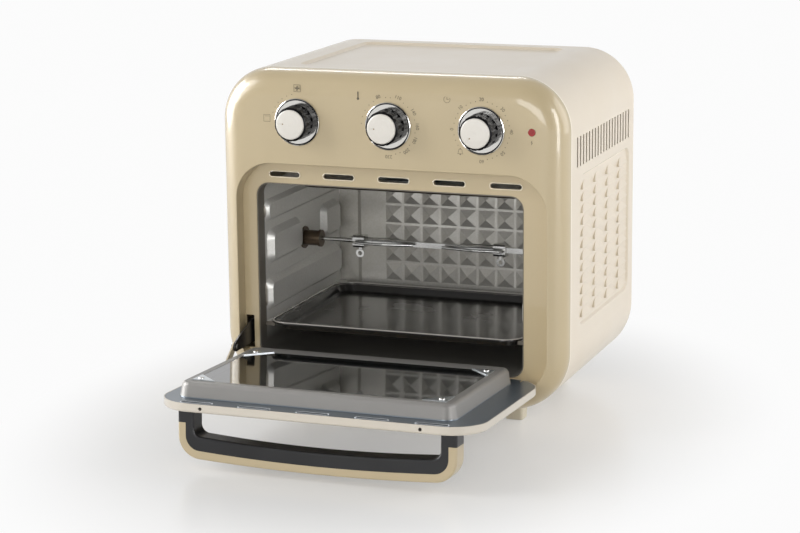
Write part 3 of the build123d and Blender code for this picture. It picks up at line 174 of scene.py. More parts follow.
def place_camera():
    yaw, pitch, roll = (math.radians(turn) for turn in (CAMERA_YAW, CAMERA_PITCH, CAMERA_ROLL))
    forward = Vector((-math.sin(yaw) * math.cos(pitch), math.cos(yaw) * math.cos(pitch),
                      -math.sin(pitch)))
    right = Vector((math.cos(yaw), math.sin(yaw), 0))
    up = right.cross(forward)
    side = math.cos(roll) * right + math.sin(roll) * up
    top = -math.sin(roll) * right + math.cos(roll) * up
    data = bpy.data.cameras.new("camera")
    data.lens = CAMERA_LENS
    data.sensor_width = CAMERA_SENSOR
    data.clip_start, data.clip_end = CAMERA_CLIP
    camera = bpy.data.objects.new("camera", data)
    bpy.context.scene.collection.objects.link(camera)
    axes = Matrix((side, top, -forward)).transposed()
    camera.matrix_world = Matrix.Translation(CAMERA_PLACE) @ axes.to_4x4()
    bpy.context.scene.camera = camera


def soft_lamp(name, place, target, width, height, power, only_gloss):
    data = bpy.data.lights.new(name, "AREA")
    data.shape = "RECTANGLE"
    data.size, data.size_y = width, height
    data.energy = power
    lamp = bpy.data.objects.new(name, data)
    bpy.context.scene.collection.objects.link(lamp)
    lamp.location = place
    lamp.rotation_mode = "QUATERNION"
    lamp.rotation_quaternion = (Vector(target) - Vector(place)).to_track_quat("-Z", "Y")
    lamp.visible_diffuse = not only_gloss


def leaning_sky(tree, way, colour, lean, level):
    """Background whose strength grows along lean from its level."""
    along = vector_node(tree, "DOT_PRODUCT", way, lean).outputs["Value"]
    strength = number_node(tree, "ADD", along, level, use_clamp=True)
    return add_node(tree, "ShaderNodeBackground", Color=colour, Strength=strength).outputs[0]


def pale_world():
    """What lights the object, what it mirrors, and the plain backdrop that is seen."""
    world = bpy.data.worlds.new("studio")
    bpy.context.scene.world = world
    world.use_nodes = True
    tree = world.node_tree
    tree.nodes.clear()
    output = tree.nodes.new("ShaderNodeOutputWorld")
    way = tree.nodes.new("ShaderNodeTexCoord").outputs["Generated"]
    ray = tree.nodes.new("ShaderNodeLightPath").outputs
    lit = leaning_sky(tree, way, SKY_COLOUR, SKY_LEAN, SKY_LEVEL)
    mirrored = leaning_sky(tree, way, BACKDROP, MIRRORED_LEAN, MIRRORED_LEVEL)
    seen = add_node(tree, "ShaderNodeBackground", Color=BACKDROP, Strength=1.0).outputs[0]
    around = mix_shaders(tree, ray["Is Glossy Ray"], lit, mirrored)
    direct = number_node(tree, "MAXIMUM", ray["Is Camera Ray"], ray["Is Transmission Ray"])
    tree.links.new(mix_shaders(tree, direct, around, seen), output.inputs["Surface"])


def pale_floor():
    """A floor that takes the object's shadow and fades into the backdrop around it."""
    bpy.ops.mesh.primitive_plane_add(size=FLOOR_SIZE, location=(0, 0, -FLOOR_DROP))
    floor = bpy.context.object
    floor.name = "floor"
    material = bpy.data.materials.new("pale_floor")
    material.use_nodes = True
    tree = material.node_tree
    shader = tree.nodes["Principled BSDF"]
    shader.inputs["Base Color"].default_value = FLOOR_COLOUR
    shader.inputs["Roughness"].default_value = FLOOR_ROUGHNESS
    glow = add_node(tree, "ShaderNodeEmission", Color=BACKDROP, Strength=1.0)
    place = tree.nodes.new("ShaderNodeTexCoord").outputs["Object"]
    stretched = vector_node(tree, "MULTIPLY", place, FLOOR_STRETCH).outputs["Vector"]
    away = vector_node(tree, "LENGTH", stretched).outputs["Value"]
    fade = add_node(tree, "ShaderNodeMapRange", {"interpolation_type": "SMOOTHSTEP"}, Value=away,
                    From_Min=FADE_START, From_Max=FADE_END, To_Min=FADE_LEAST)
    ray = tree.nodes.new("ShaderNodeLightPath").outputs
    direct = number_node(tree, "MAXIMUM", ray["Is Camera Ray"], ray["Is Transmission Ray"])
    shown = number_node(tree, "MAXIMUM", direct, ray["Is Glossy Ray"])
    share = number_node(tree, "MULTIPLY", fade.outputs["Result"], shown)
    surface = mix_shaders(tree, share, shader.outputs[0], glow.outputs[0])
    tree.links.new(surface, tree.nodes["Material Output"].inputs["Surface"])
    floor.data.materials.append(material)


# Effects that several finishes share

VALUE, VECTOR, COLOUR = "NodeSocketFloat", "NodeSocketVector", "NodeSocketColor"


def new_group(name, inputs, output, kind=VALUE):
    """A node group that works from a Vector, with named inputs and one named output."""
    group = bpy.data.node_groups.new(name, "ShaderNodeTree")
    group.interface.new_socket(name="Vector", in_out="INPUT", socket_type=VECTOR)
    for label, (socket_kind, value) in inputs.items():
        socket = group.interface.new_socket(name=label, in_out="INPUT", socket_type=socket_kind)
        socket.default_value = value
    group.interface.new_socket(name=output, in_out="OUTPUT", socket_type=kind)
    entry = group.nodes.new("NodeGroupInput").outputs
    leave = group.nodes.new("NodeGroupOutput").inputs[output]
    return group, entry, leave


def noise(tree, vector, scale, detail, roughness=0.5):
    node = add_node(tree, "ShaderNodeTexNoise", Vector=vector, Scale=scale, Detail=detail,
                    Roughness=roughness)
    return node.outputs["Fac"]


def enamel_waves():
    """Slow waviness of sprayed enamel with a trace of fine grain, as a height."""
    group, entry, leave = new_group(
        "enamel_waves",
        {"Wave Scale": (VALUE, 260.0), "Grain Scale": (VALUE, 2600.0),
         "Grain Share": (VALUE, 0.15)},
        "Height")
    wave = noise(group, entry["Vector"], entry["Wave Scale"], 1.0)
    grain = noise(group, entry["Vector"], entry["Grain Scale"], 2.0)
    both = add_node(group, "ShaderNodeMix", Factor=entry["Grain Share"], A=wave, B=grain)
    group.links.new(both.outputs["Result"], leave)
    return group


def handling_marks():
    """Broad cloudy variation between two values, for roughness."""
    group, entry, leave = new_group(
        "handling_marks",
        {"Scale": (VALUE, 18.0), "Clean": (VALUE, 0.25), "Handled": (VALUE, 0.35)},
        "Value")
    cloud = noise(group, entry["Vector"], entry["Scale"], 4.0, 0.6)
    spread = add_node(group, "ShaderNodeMapRange", Value=cloud, From_Min=0.35, From_Max=0.65,
                      To_Min=entry["Clean"], To_Max=entry["Handled"])
    group.links.new(spread.outputs["Result"], leave)
    return group


def tone_drift():
    """Mixes a colour towards a second one in soft patches and fine flecks."""
    group, entry, leave = new_group(
        "tone_drift",
        {"Colour": (COLOUR, (0.5, 0.5, 0.5, 1)), "Second": (COLOUR, (0.4, 0.4, 0.4, 1)),
         "Patch Scale": (VALUE, 9.0), "Fleck Scale": (VALUE, 1500.0), "Amount": (VALUE, 0.5)},
        "Colour", COLOUR)
    patch = noise(group, entry["Vector"], entry["Patch Scale"], 3.0)
    fleck = noise(group, entry["Vector"], entry["Fleck Scale"], 1.0)
    both = number_node(group, "MULTIPLY", patch, fleck)
    share = number_node(group, "MULTIPLY", both, entry["Amount"])
    group.links.new(mix_colours(group, share, entry["Colour"], entry["Second"]), leave)
    return group


def painted_light_zone():
    """Covers a colour with a second one up to a place along an axis, to paint highlights and
    shade.
    """
    group, entry, leave = new_group(
        "painted_light_zone",
        {"Axis": (VECTOR, (0, 0, 1)), "Full": (VALUE, 0.0), "Gone": (VALUE, 1.0),
         "Colour": (COLOUR, (0.5, 0.5, 0.5, 1)), "Second": (COLOUR, (0.4, 0.4, 0.4, 1))},
        "Colour", COLOUR)
    along = vector_node(group, "DOT_PRODUCT", entry["Vector"], entry["Axis"]).outputs["Value"]
    share = add_node(group, "ShaderNodeMapRange", Value=along, From_Min=entry["Full"],
                     From_Max=entry["Gone"], To_Min=1.0, To_Max=0.0).outputs["Result"]
    group.links.new(mix_colours(group, share, entry["Colour"], entry["Second"]), leave)
    return group


def rolled_grain():
    """Fine parallel lines of rolled or brushed sheet, along the axis that Stretch shortens."""
    group, entry, leave = new_group(
        "rolled_grain",
        {"Stretch": (VECTOR, (0.04, 1.0, 1.0)), "Scale": (VALUE, 1400.0)},
        "Height")
    pulled = vector_node(group, "MULTIPLY", entry["Vector"], entry["Stretch"]).outputs["Vector"]
    group.links.new(noise(group, pulled, entry["Scale"], 3.0), leave)
    return group


def linear(red, green, blue):
    """Linear colour of an sRGB tone given from 0 to 255."""
    tones = []
    for tone in (red, green, blue):
        share = tone / 255
        tones.append(share / 12.92 if share <= 0.04045 else ((share + 0.055) / 1.055) ** 2.4)
    return (*tones, 1.0)


class Finish:
    """One material: the Principled shader, with the shared effects that feed it."""

    def __init__(self, name, colour, roughness, metallic=0.0, **constants):
        self.material = bpy.data.materials.new(name)
        self.material.use_nodes = True
        self.tree = self.material.node_tree
        self.inputs = self.tree.nodes["Principled BSDF"].inputs
        self.inputs["Base Color"].default_value = colour
        self.inputs["Roughness"].default_value = roughness
        self.inputs["Metallic"].default_value = metallic
        for label, value in constants.items():
            self.inputs[label.replace("_", " ")].default_value = value
        self.place = self.tree.nodes.new("ShaderNodeTexCoord").outputs["Object"]

    def effect(self, group, **values):
        """Output of a shared effect on this material's own place."""
        node = add_node(self.tree, "ShaderNodeGroup", {"node_tree": group}, Vector=self.place,
                        **values)
        return node.outputs[0]

    def drift(self, second, patch=9.0, fleck=1500.0, amount=0.5):
        colour = tuple(self.inputs["Base Color"].default_value)
        tone = self.effect(TONE, Colour=colour, Second=second, Patch_Scale=patch,
                           Fleck_Scale=fleck, Amount=amount)
        feed(self.tree, self.inputs["Base Color"], tone)

    def zone(self, axis, places, second):
        """A second colour up to the first of two places along an axis, gone at the other, as a
        painted highlight and painted shade.
        """
        under = self.inputs["Base Color"].links[0].from_socket
        tone = self.effect(PAINTED_LIGHT_ZONE, Axis=axis, Full=places[0], Gone=places[1], Colour=under,
                           Second=second)
        feed(self.tree, self.inputs["Base Color"], tone)

    def marks(self, clean, handled, scale=18.0):
        value = self.effect(MARKS, Clean=clean, Handled=handled, Scale=scale)
        feed(self.tree, self.inputs["Roughness"], value)

    def bump(self, height, depth):
        node = add_node(self.tree, "ShaderNodeBump", Distance=depth, Strength=1.0, Height=height)
        feed(self.tree, self.inputs["Normal"], node.outputs["Normal"])

    def waves(self, depth, wave=260.0, grain=2600.0, share=0.15):
        self.bump(self.effect(WAVES, Wave_Scale=wave, Grain_Scale=grain, Grain_Share=share), depth)

    def rolled(self, depth, stretch, scale=1400.0):
        self.bump(self.effect(ROLLED, Stretch=stretch, Scale=scale), depth)

    def give(self, *names):
        for name in names:
            mesh = nodes[name].data
            mesh.materials.clear()
            mesh.materials.append(self.material)


WAVES = enamel_waves()
MARKS = handling_marks()
TONE = tone_drift()
PAINTED_LIGHT_ZONE = painted_light_zone()
ROLLED = rolled_grain()
ALONG_Y, ALONG_Z = (0, 1, 0), (0, 0, 1)


def enamels():
    fascia = Finish("gold_beige_enamel", linear(196, 179, 144), 0.34, Coat_Weight=0.7,
                    Coat_Roughness=0.05)
    fascia.drift(linear(184, 167, 131), patch=7.0, fleck=2200.0, amount=0.9)
    fascia.waves(0.02 * MM, wave=180.0)
    fascia.marks(0.30, 0.40)
    fascia.give("front_fascia")

    shell = Finish("cream_enamel", linear(229, 217, 198), 0.36, Coat_Weight=0.35,
                   Coat_Roughness=0.06)
    shell.drift(linear(217, 203, 181), patch=6.0, fleck=2200.0, amount=0.8)
    shell.waves(0.02 * MM, wave=180.0)
    shell.marks(0.32, 0.42)
    # Painted highlight: a lighter cream band along the shell's front edge at the fascia seam.
    shell.zone(ALONG_Y, SHELL_SEAM_HIGHLIGHT, linear(250, 242, 224))
    shell.give("outer_shell", "base_plate", "back_cover")

    door = Finish("door_cream_enamel", linear(206, 199, 187), 0.33, Coat_Weight=0.6,
                  Coat_Roughness=0.06)
    door.drift(linear(208, 197, 178), patch=8.0, fleck=2200.0, amount=0.8)
    door.waves(0.02 * MM, wave=180.0)
    door.marks(0.30, 0.40)
    door.give("door_outer_panel")

    link = Finish("link_enamel", linear(214, 202, 176), 0.4, Coat_Weight=0.3, Coat_Roughness=0.1)
    link.drift(linear(190, 176, 148), patch=30.0, amount=0.8)
    link.waves(0.03 * MM, wave=500.0)
    link.give("link_strap")


def plastics():
    feet = Finish("cream_moulding", linear(221, 213, 193), 0.45)
    feet.drift(linear(204, 195, 172), patch=24.0, amount=0.8)
    feet.waves(0.04 * MM, wave=900.0, grain=3500.0, share=0.5)
    feet.give("foot_front_left", "foot_front_right", "foot_rear_left", "foot_rear_right")

    trim = Finish("handle_cream_moulding", linear(188, 172, 140), 0.3, Coat_Weight=0.4,
                  Coat_Roughness=0.08)
    trim.drift(linear(186, 169, 134), patch=14.0, amount=0.7)
    trim.waves(0.02 * MM, wave=300.0)
    trim.marks(0.28, 0.38)
    trim.give("handle_trim")

    black = Finish("black_moulding", linear(14, 14, 16), 0.3)
    black.drift(linear(30, 30, 33), patch=20.0, fleck=2600.0, amount=1.0)
    black.waves(0.05 * MM, wave=1600.0, grain=4200.0, share=0.5)
    black.marks(0.28, 0.42)
    black.give("handle_grip", "cord_inlet")

    pale = Finish("control_moulding", linear(222, 218, 206), 0.5)
    pale.drift(linear(204, 199, 184), patch=30.0, amount=0.8)
    pale.waves(0.04 * MM, wave=1200.0)
    pale.give("function_switch", "thermostat", "timer", "lamp_holder")

    clay = Finish("white_ceramic", linear(232, 228, 220), 0.6)
    clay.drift(linear(208, 200, 186), patch=60.0, amount=1.0)
    clay.waves(0.06 * MM, wave=1800.0, share=0.4)
    clay.give("element_bushes", "terminal_block")

    lens = Finish("red_lens", linear(196, 20, 20), 0.14, Coat_Weight=0.6, Coat_Roughness=0.04,
                  Transmission_Weight=0.35, IOR=1.49)
    lens.drift(linear(140, 6, 8), patch=220.0, fleck=900.0, amount=1.0)
    lens.waves(0.01 * MM, wave=700.0)
    lens.give("lamp_lens")


def steels():
    cavity = Finish("cavity_steel", linear(230, 229, 225), 0.42, metallic=0.35)
    cavity.drift(linear(192, 189, 182), patch=12.0, fleck=500.0, amount=1.0)
    cavity.rolled(0.015 * MM, (1.0, 0.04, 1.0), scale=900.0)
    # Painted shade: the liner darker at its front, by the opening.
    cavity.zone(ALONG_Y, LINER_FRONT_SHADE, linear(118, 112, 102))
    # Painted shade: the liner darker low down, under the tray.
    cavity.zone(ALONG_Z, LINER_FOOT_SHADE, linear(120, 117, 111))
    cavity.give("cavity_liner", "fan_guard")

    wall = Finish("cavity_back_steel", linear(224, 222, 216), 0.26, metallic=0.6)
    wall.drift(linear(182, 175, 162), patch=14.0, fleck=500.0, amount=0.9)
    wall.rolled(0.01 * MM, (0.04, 1.0, 1.0), scale=900.0)
    wall.give("cavity_back_wall")

    plated = Finish("plated_sheet", linear(176, 178, 178), 0.34, metallic=0.95)
    plated.drift(linear(140, 142, 140), patch=25.0, fleck=700.0, amount=1.0)
    plated.rolled(0.01 * MM, (0.05, 1.0, 1.0), scale=1100.0)
    plated.give("fan_housing", "fan_blade", "fan_shaft", "motor_bracket", "rotisserie_motor",
                "control_bracket", "hinge_brackets")
    plated.give(*(f"{knob}_shaft" for knob in KNOB_X))

    bright = Finish("polished_steel", linear(206, 206, 204), 0.16, metallic=1.0)
    bright.drift(linear(170, 168, 164), patch=60.0, fleck=900.0, amount=0.8)
    bright.rolled(0.006 * MM, (0.05, 1.0, 1.0), scale=1600.0)
    bright.marks(0.12, 0.26, scale=60.0)
    bright.give("body_screws", "door_screws", "hinge_pins", "link_rivet", "spit",
                "spit_fork_left", "spit_fork_right", "fork_screws", "drive_socket")

    clip = Finish("satin_steel", linear(196, 201, 204), 0.3, metallic=0.9)
    clip.drift(linear(160, 164, 168), patch=40.0, amount=0.8)
    clip.rolled(0.01 * MM, (0.05, 1.0, 1.0), scale=1500.0)
    clip.give("glass_clips")

    motor = Finish("laminated_core", linear(122, 122, 120), 0.45, metallic=0.8)
    motor.drift(linear(92, 80, 62), patch=40.0, amount=1.0)
    motor.rolled(0.08 * MM, (0.02, 0.02, 1.0), scale=900.0)
    motor.give("fan_motor")

    tube = Finish("heated_tube", linear(94, 88, 80), 0.42, metallic=0.75)
    tube.drift(linear(58, 50, 46), patch=45.0, fleck=800.0, amount=1.5)
    tube.waves(0.03 * MM, wave=1400.0, share=0.4)
    tube.marks(0.36, 0.55, scale=50.0)
    tube.give("upper_element", "lower_element")

    cup = Finish("dull_bronze", linear(104, 90, 74), 0.32, metallic=0.8)
    cup.drift(linear(62, 50, 40), patch=90.0, amount=1.3)
    cup.rolled(0.02 * MM, (0.05, 1.0, 1.0), scale=1400.0)
    cup.give("spit_holder")

    arm = Finish("black_coated_steel", linear(24, 24, 28), 0.32, Coat_Weight=0.3,
                 Coat_Roughness=0.15)
    arm.drift(linear(48, 46, 46), patch=60.0, amount=1.0)
    arm.waves(0.03 * MM, wave=900.0)
    arm.give("link_arm")


def door_pressing():
    """The door's inner steel: blue-grey flange, warmer and duller where the frame stands up."""
    panel = Finish("door_pressing", linear(110, 118, 126), 0.3, metallic=0.55)
    tree = panel.tree
    turn = add_node(tree, "ShaderNodeMapping", {"vector_type": "TEXTURE"}, Vector=panel.place,
                    Location=(0, HINGE_Y, HINGE_Z), Rotation=(-DOOR_DROOP, 0, 0))
    split = add_node(tree, "ShaderNodeSeparateXYZ", Vector=turn.outputs["Vector"])
    rise = add_node(tree, "ShaderNodeMapRange", Value=split.outputs["Z"], From_Min=DOOR_FLANGE,
                    From_Max=DOOR_FRAME).outputs["Result"]
    flange = panel.effect(TONE, Colour=linear(112, 121, 130), Second=linear(84, 92, 100),
                          Patch_Scale=10.0, Fleck_Scale=1400.0, Amount=1.0)
    raised = panel.effect(TONE, Colour=linear(140, 138, 135), Second=linear(122, 120, 117),
                          Patch_Scale=10.0, Fleck_Scale=1800.0, Amount=1.0)
    feed(tree, panel.inputs["Base Color"], mix_colours(tree, rise, flange, raised))
    for label, on_flange, on_frame in (("Roughness", 0.3, 0.46), ("Metallic", 0.45, 0.3)):
        value = add_node(tree, "ShaderNodeMapRange", Value=rise, To_Min=on_flange, To_Max=on_frame)
        feed(tree, panel.inputs[label], value.outputs["Result"])
    panel.waves(0.02 * MM, wave=500.0, grain=3000.0, share=0.3)
    panel.give("door_inner_frame")


def door_window():
    glass = Finish("tinted_glass", linear(50, 53, 53), 0.03, Transmission_Weight=0.75, IOR=1.5,
                   Coat_Weight=0.3, Coat_Roughness=0.02)
    glass.marks(0.02, 0.06, scale=9.0)
    glass.waves(0.002 * MM, wave=40.0)
    glass.give("door_glass")


def tray_enamel():
    tray = Finish("tray_enamel", linear(33, 32, 31), 0.22, metallic=0.35, Coat_Weight=0.5,
                  Coat_Roughness=0.1)
    tray.drift(linear(54, 51, 48), patch=14.0, fleck=1200.0, amount=1.0)
    tray.waves(0.006 * MM, wave=400.0, grain=2600.0, share=0.3)
    tray.marks(0.20, 0.28, scale=14.0)
    # Painted highlight: the top of the tray's rolled bead coloured light steel.
    tray.zone(ALONG_Z, TRAY_BEAD_HIGHLIGHT, linear(186, 182, 176))
    tray.give("bake_tray")


def knob_finishes():
    chrome = Finish("knob_chrome", linear(214, 212, 208), 0.12, metallic=1.0)
    chrome.marks(0.09, 0.15, scale=90.0)
    chrome.waves(0.004 * MM, wave=500.0)
    black = Finish("knob_black_gloss", linear(10, 10, 12), 0.26, Specular_IOR_Level=0.12)
    black.drift(linear(26, 23, 24), patch=120.0, amount=1.0)
    black.waves(0.006 * MM, wave=500.0)
    white = Finish("knob_white", linear(226, 222, 214), 0.4)
    white.drift(linear(212, 207, 198), patch=90.0, amount=0.8)
    white.waves(0.015 * MM, wave=1200.0, share=0.4)
    for knob in KNOB_X:
        chrome.give(f"{knob}_knob_base")
        black.give(f"{knob}_knob_grip")
        white.give(f"{knob}_knob_cap")


# Printed marks on the fascia

def dial_point(x, z, angle, reach):
    """Point on the fascia at an angle clockwise from up round a dial's centre."""
    turn = math.radians(angle)
    return Vector((x + reach * math.sin(turn), FASCIA_FRONT - PRINT_THICKNESS / 2,
                   z + reach * math.cos(turn)))


def printed_number(words, x, z, angle):
    """A number round a dial, turned so that its foot points at the centre."""
    bpy.ops.object.text_add(location=dial_point(x, z, angle, NUMBER_REACH),
                            rotation=(math.pi / 2, math.radians(angle), 0))
    text = bpy.context.object
    text.data.body = words
    text.data.size = NUMBER_SIZE
    text.data.align_x = "CENTER"
    text.data.align_y = "CENTER"
    text.data.extrude = PRINT_THICKNESS / 2
    text.data.resolution_u = 3
    bpy.ops.object.convert(target="MESH")
    return bpy.context.object


def printed_dot(x, z, angle=0, reach=0, radius=DOT):
    bpy.ops.mesh.primitive_cylinder_add(vertices=12, radius=radius, depth=PRINT_THICKNESS,
                                        location=dial_point(x, z, angle, reach),
                                        rotation=(math.pi / 2, 0, 0))
    return bpy.context.object


def printed_bar(x, z, length, width=LINE, angle=0.0):
    """A short printed stroke, lengthwise along the angle clockwise from up."""
    bpy.ops.mesh.primitive_cube_add(size=1.0, location=(x, FASCIA_FRONT - PRINT_THICKNESS / 2, z),
                                    rotation=(0, math.radians(angle), 0),
                                    scale=(width, PRINT_THICKNESS, length))
    return bpy.context.object


def printed_arc(x, z, radius, start, end):
    """Part of a circle drawn in short strokes, clockwise from up."""
    steps = max(4, round((end - start) / ARC_STROKE))
    step = (end - start) / steps
    length = 2 * radius * math.sin(math.radians(step) / 2) * ARC_OVERLAP
    strokes = []
    for index in range(steps):
        angle = start + (index + 0.5) * step
        at = dial_point(x, z, angle, radius)
        strokes.append(printed_bar(at.x, at.z, length, LINE, angle + 90))
    return strokes


def printed_frame(x, z):
    """Outline of a square sign."""
    half, long = SIGN_SIZE / 2, SIGN_SIZE + LINE
    return [printed_bar(x - half, z, long), printed_bar(x + half, z, long),
            printed_bar(x, z - half, SIGN_SIZE, LINE, 90),
            printed_bar(x, z + half, SIGN_SIZE, LINE, 90)]


def fan_sign(x, z):
    marks = printed_frame(x, z)
    for angle in (0, 90, 180, 270):
        at = dial_point(x, z, angle, 1.35 * MM)
        marks.append(printed_bar(at.x, at.z, 2.0 * MM, 0.9 * MM, angle + 24))
    marks.append(printed_dot(x, z, radius=0.5 * MM))
    return marks


def grill_sign(x, z):
    return printed_frame(x, z) + [printed_bar(x, z + 1.9 * MM, 5.0 * MM, LINE, 90)]


def heat_sign(x, z):
    return [printed_dot(x, z - 2.2 * MM, radius=1.25 * MM),
            printed_bar(x, z + 1.3 * MM, 6.0 * MM, 1.1 * MM)]


def bell_sign(x, z):
    marks = printed_arc(x, z + 0.6 * MM, 1.9 * MM, -90, 90)
    marks.append(printed_bar(x - 1.9 * MM, z - 0.5 * MM, 2.4 * MM, LINE, 8))
    marks.append(printed_bar(x + 1.9 * MM, z - 0.5 * MM, 2.4 * MM, LINE, -8))
    marks.append(printed_bar(x, z - 1.8 * MM, 5.4 * MM, LINE, 90))
    marks.append(printed_dot(x, z - 2.5 * MM, radius=0.6 * MM))
    marks.append(printed_dot(x, z + 2.9 * MM, radius=0.5 * MM))
    return marks


def clock_sign(x, z):
    marks = printed_arc(x, z, 3.0 * MM, 60, 330)
    marks.append(printed_bar(x, z + 1.1 * MM, 2.2 * MM))
    marks.append(printed_bar(x + 0.8 * MM, z, 1.6 * MM, LINE, 90))
    return marks


def power_sign(x, z):
    return [printed_bar(x - 0.15 * MM, z + 0.9 * MM, 2.0 * MM, 0.5 * MM, 25),
            printed_bar(x + 0.1 * MM, z, 1.3 * MM, 0.45 * MM, 80),
            printed_bar(x + 0.15 * MM, z - 0.9 * MM, 2.0 * MM, 0.5 * MM, 25)]


def join_as(name, parts, material, body):
    """Join parts into one piece with its place in its mesh, and let it ride on a body."""
    bpy.ops.object.select_all(action="DESELECT")
    for part in parts:
        part.select_set(True)
    bpy.context.view_layer.objects.active = parts[0]
    bpy.ops.object.transform_apply(location=True, rotation=True, scale=True)
    if len(parts) > 1:
        bpy.ops.object.join()
    piece = bpy.context.object
    piece.name = name
    piece.data.materials.clear()
    piece.data.materials.append(material)
    bpy.ops.object.select_all(action="DESELECT")
    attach(piece, body)


def dial_marks():
    """Dots, numbers and plain signs round each knob, and a sign under the lamp."""
    ink = Finish("dial_print", linear(86, 78, 62), 0.6)
    ink.drift(linear(116, 106, 84), patch=300.0, amount=1.0)

    x = KNOB_X["function"]
    marks = [printed_dot(x, KNOB_Z, angle, FUNCTION_DOT_REACH) for angle in FUNCTION_DOTS]
    marks += fan_sign(x, KNOB_Z + 31.5 * MM)
    marks += grill_sign(x - 31.0 * MM, KNOB_Z + 2.4 * MM)
    join_as("function_dial_marks", marks, ink.material, "oven")

    x = KNOB_X["temperature"]
    marks = [printed_dot(x, KNOB_Z, angle, HEAT_DOT_REACH) for angle in HEAT_DOTS]
    marks += [printed_number(words, x, KNOB_Z, angle) for words, angle in HEATS.items()]
    marks += heat_sign(x - 29.5 * MM, KNOB_Z + 26.5 * MM)
    join_as("temperature_dial_marks", marks, ink.material, "oven")

    x = KNOB_X["timer"]
    marks = []
    dots = list(LAST_MINUTE_DOTS)
    for words, angle in MINUTES.items():
        marks.append(printed_number(words, x, KNOB_Z, angle))
        if words != "60":
            dots += [angle + step for step in MINUTE_STEPS]
    marks += [printed_dot(x, KNOB_Z, angle, MINUTE_DOT_REACH) for angle in dots]
    marks += bell_sign(x - 20.4 * MM, KNOB_Z - 20.4 * MM)
    marks += clock_sign(x - 33.0 * MM, KNOB_Z + 27.0 * MM)
    join_as("timer_dial_marks", marks, ink.material, "oven")

    marks = power_sign(LAMP_X, LAMP_Z - 9.4 * MM)
    join_as("power_mark", marks, ink.material, "oven")


# The fascia's outer edge, rounder than its solid

def inside_outline(x, z):
    """Distance in from the fascia's outline, in millimetres."""
    for corner_z, up, radius in ((BODY_TOP, 1, CORNER_TOP), (BODY_LOW, -1, CORNER_LOW)):
        out_x = abs(x) - (BODY_HALF - radius)
        out_z = up * (z - corner_z) + radius
        if out_x > 0 and out_z > 0:
            return radius - math.hypot(out_x, out_z)
    return min(BODY_HALF - abs(x), BODY_TOP - z, z - BODY_LOW)


def edge_depth(inside, across, deep):
    """Depth of a quarter ellipse behind the front at a distance in from the outline."""
    share = max(0.0, 1 - inside / across)
    return deep * (1 - math.sqrt(1 - min(1.0, share) ** 2))


def settle_back(point):
    """How much further back a point of the fascia lies with the rounder edge, in millimetres."""
    inside = max(0.0, inside_outline(point.x / MM, point.z / MM))
    back = (point.y - FASCIA_FRONT) / MM
    if inside >= ROUND_ACROSS or back >= FASCIA_DEPTH:
        return 0.0
    if inside >= SOLID_ROLL:
        fading = max(0.0, 1 - back / SOLID_ROLL)
        return edge_depth(inside, ROUND_ACROSS, ROUND_DEEP) * fading
    if back < SOLID_ROLL:
        away = math.hypot(SOLID_ROLL - inside, SOLID_ROLL - back)
        skin = SOLID_ROLL * (1 - (SOLID_ROLL - inside) / away)
        return (edge_depth(skin, ROUND_ACROSS, ROUND_DEEP)
                - edge_depth(skin, SOLID_ROLL, SOLID_ROLL))
    return (ROUND_DEEP - SOLID_ROLL) * (FASCIA_DEPTH - back) / (FASCIA_DEPTH - SOLID_ROLL)


def rounder_fascia():
    """A copy of the fascia whose outer edge rolls back over a wider band."""
    piece = bpy.data.objects.new("fascia_rounded", nodes["front_fascia"].data.copy())
    bpy.context.scene.collection.objects.link(piece)
    bpy.ops.object.select_all(action="DESELECT")
    piece.select_set(True)
    bpy.context.view_layer.objects.active = piece
    bpy.ops.mesh.customdata_custom_splitnormals_clear()
    bpy.ops.object.mode_set(mode="EDIT")
    bpy.ops.mesh.select_all(action="SELECT")
    bpy.ops.mesh.remove_doubles(threshold=MERGE_UNDER)
    for inside in CUTS_IN_FROM_EDGE:
        for place, way in (((BODY_HALF - inside, 0, 0), (1, 0, 0)),
                           ((inside - BODY_HALF, 0, 0), (1, 0, 0)),
                           ((0, 0, BODY_TOP - inside), (0, 0, 1)),
                           ((0, 0, BODY_LOW + inside), (0, 0, 1))):
            bpy.ops.mesh.select_all(action="SELECT")
            bpy.ops.mesh.bisect(plane_co=[value * MM for value in place], plane_no=way)
    bpy.ops.object.mode_set(mode="OBJECT")
    for point in piece.data.vertices:
        point.co.y += settle_back(point.co) * MM
    bpy.ops.object.shade_smooth_by_angle(angle=SMOOTH_UNDER)
    bpy.ops.object.select_all(action="DESELECT")
    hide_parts("front_fascia")
    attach(piece, "oven")


# Raised lips round the slots, coloured lighter than the surface round them as a painted highlight,
# and dots on the knobs

def on_fascia(x, back, z):
    """Point from millimetres across, behind the fascia's front and above the floor."""
    return Vector((x * MM, FASCIA_FRONT + back * MM, z * MM))


def on_door(x, out, along):
    """Point of the open door: across, out of its face and away from its hinge, in millimetres."""
    turn = math.radians(90) - DOOR_DROOP
    y = out * math.cos(turn) - along * math.sin(turn)
    z = out * math.sin(turn) + along * math.cos(turn)
    return Vector((x * MM, HINGE_Y + y * MM, HINGE_Z + z * MM))


def slot_lip(length, height, wire):
    """Rounded wire round a long hole, lying in X and Z about the origin."""
    bpy.ops.object.select_all(action="DESELECT")
    bpy.ops.mesh.primitive_circle_add(vertices=32, radius=height / 2 * MM,
                                      rotation=(math.pi / 2, 0, 0))
    ring = bpy.context.object
    bpy.ops.object.transform_apply(location=True, rotation=True, scale=True)
    stretch = (length - height) / 2 * MM
    for point in ring.data.vertices:
        point.co.x += stretch if point.co.x > 0 else -stretch
    bpy.ops.object.convert(target="CURVE")
    ring = bpy.context.object
    ring.data.bevel_depth = wire * MM
    ring.data.bevel_resolution = 2
    bpy.ops.object.convert(target="MESH")
    bpy.ops.object.shade_smooth()
    return bpy.context.object


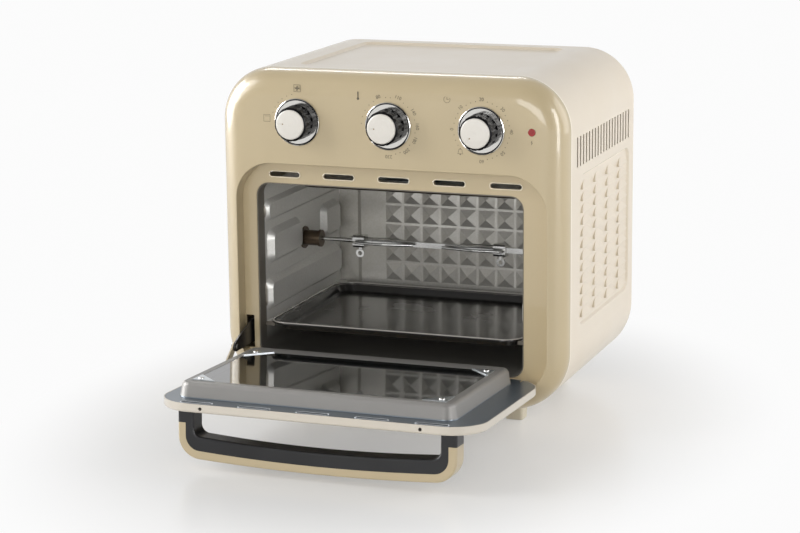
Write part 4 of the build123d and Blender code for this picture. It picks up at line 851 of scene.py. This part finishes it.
def lip_row(places, length, height, wire):
    """One lip, and a copy of it at each place."""
    lip = slot_lip(length, height, wire)
    copies = []
    for place in places:
        copy = bpy.data.objects.new("slot_lip", lip.data.copy())
        bpy.context.scene.collection.objects.link(copy)
        copy.matrix_world = place
        copies.append(copy)
    bpy.data.objects.remove(lip)
    return copies


def slot_lips():
    # The steam slots' raised lips are real; their cream, lighter than the fascia's gold, is a
    # painted highlight.
    paint = Finish("lip_highlight_enamel", linear(238, 229, 206), 0.26, Coat_Weight=0.6,
                   Coat_Roughness=0.06)
    paint.drift(linear(222, 210, 182), patch=40.0, amount=0.8)
    paint.waves(0.01 * MM, wave=400.0)
    places = [Matrix.Translation(on_fascia(STEAM_PITCH * slot, STEAM_BACK, STEAM_Z))
              for slot in SLOTS]
    join_as("steam_slot_lips", lip_row(places, *STEAM_LIP), paint.material, "oven")

    # The door flange slots' raised lips are real; their pale steel, lighter than the blue-grey
    # flange, is a painted highlight.
    steel = Finish("lip_highlight_steel", linear(168, 172, 176), 0.3, metallic=0.6)
    steel.drift(linear(140, 144, 150), patch=40.0, amount=0.8)
    steel.waves(0.01 * MM, wave=600.0)
    tilt = Matrix.Rotation(math.radians(90) - DOOR_DROOP, 4, "X")
    places = [Matrix.Translation(on_door(FLANGE_PITCH * slot, FLANGE_OUT, FLANGE_ALONG)) @ tilt
              for slot in SLOTS]
    join_as("flange_slot_lips", lip_row(places, *FLANGE_LIP), steel.material, "door")


def pointer_dots():
    """A small inlaid dot near the rim of each cap, where its pointer groove starts."""
    ink = Finish("pointer_ink", linear(150, 128, 92), 0.5)
    ink.drift(linear(120, 100, 70), patch=400.0, amount=0.8)
    for knob, turn in POINTER_TURN.items():
        cap_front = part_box(f"{knob}_knob_cap")[0].y
        at = dial_point(KNOB_X[knob], KNOB_Z, turn, POINTER_REACH)
        bpy.ops.mesh.primitive_uv_sphere_add(segments=16, ring_count=8, radius=POINTER_RADIUS,
                                             location=(at.x, cap_front + POINTER_SUNK, at.z),
                                             scale=POINTER_SHAPE)
        bpy.ops.object.shade_smooth()
        join_as(f"{knob}_pointer_dot", [bpy.context.object], ink.material, f"{knob}_knob")


place_camera()
pale_world()
pale_floor()
for lamp, setting in LAMPS.items():
    soft_lamp(lamp, *setting)
enamels()
plastics()
steels()
door_pressing()
door_window()
tray_enamel()
knob_finishes()
rounder_fascia()
dial_marks()
slot_lips()
pointer_dots()

bpy.context.scene.view_settings.view_transform = "Standard"
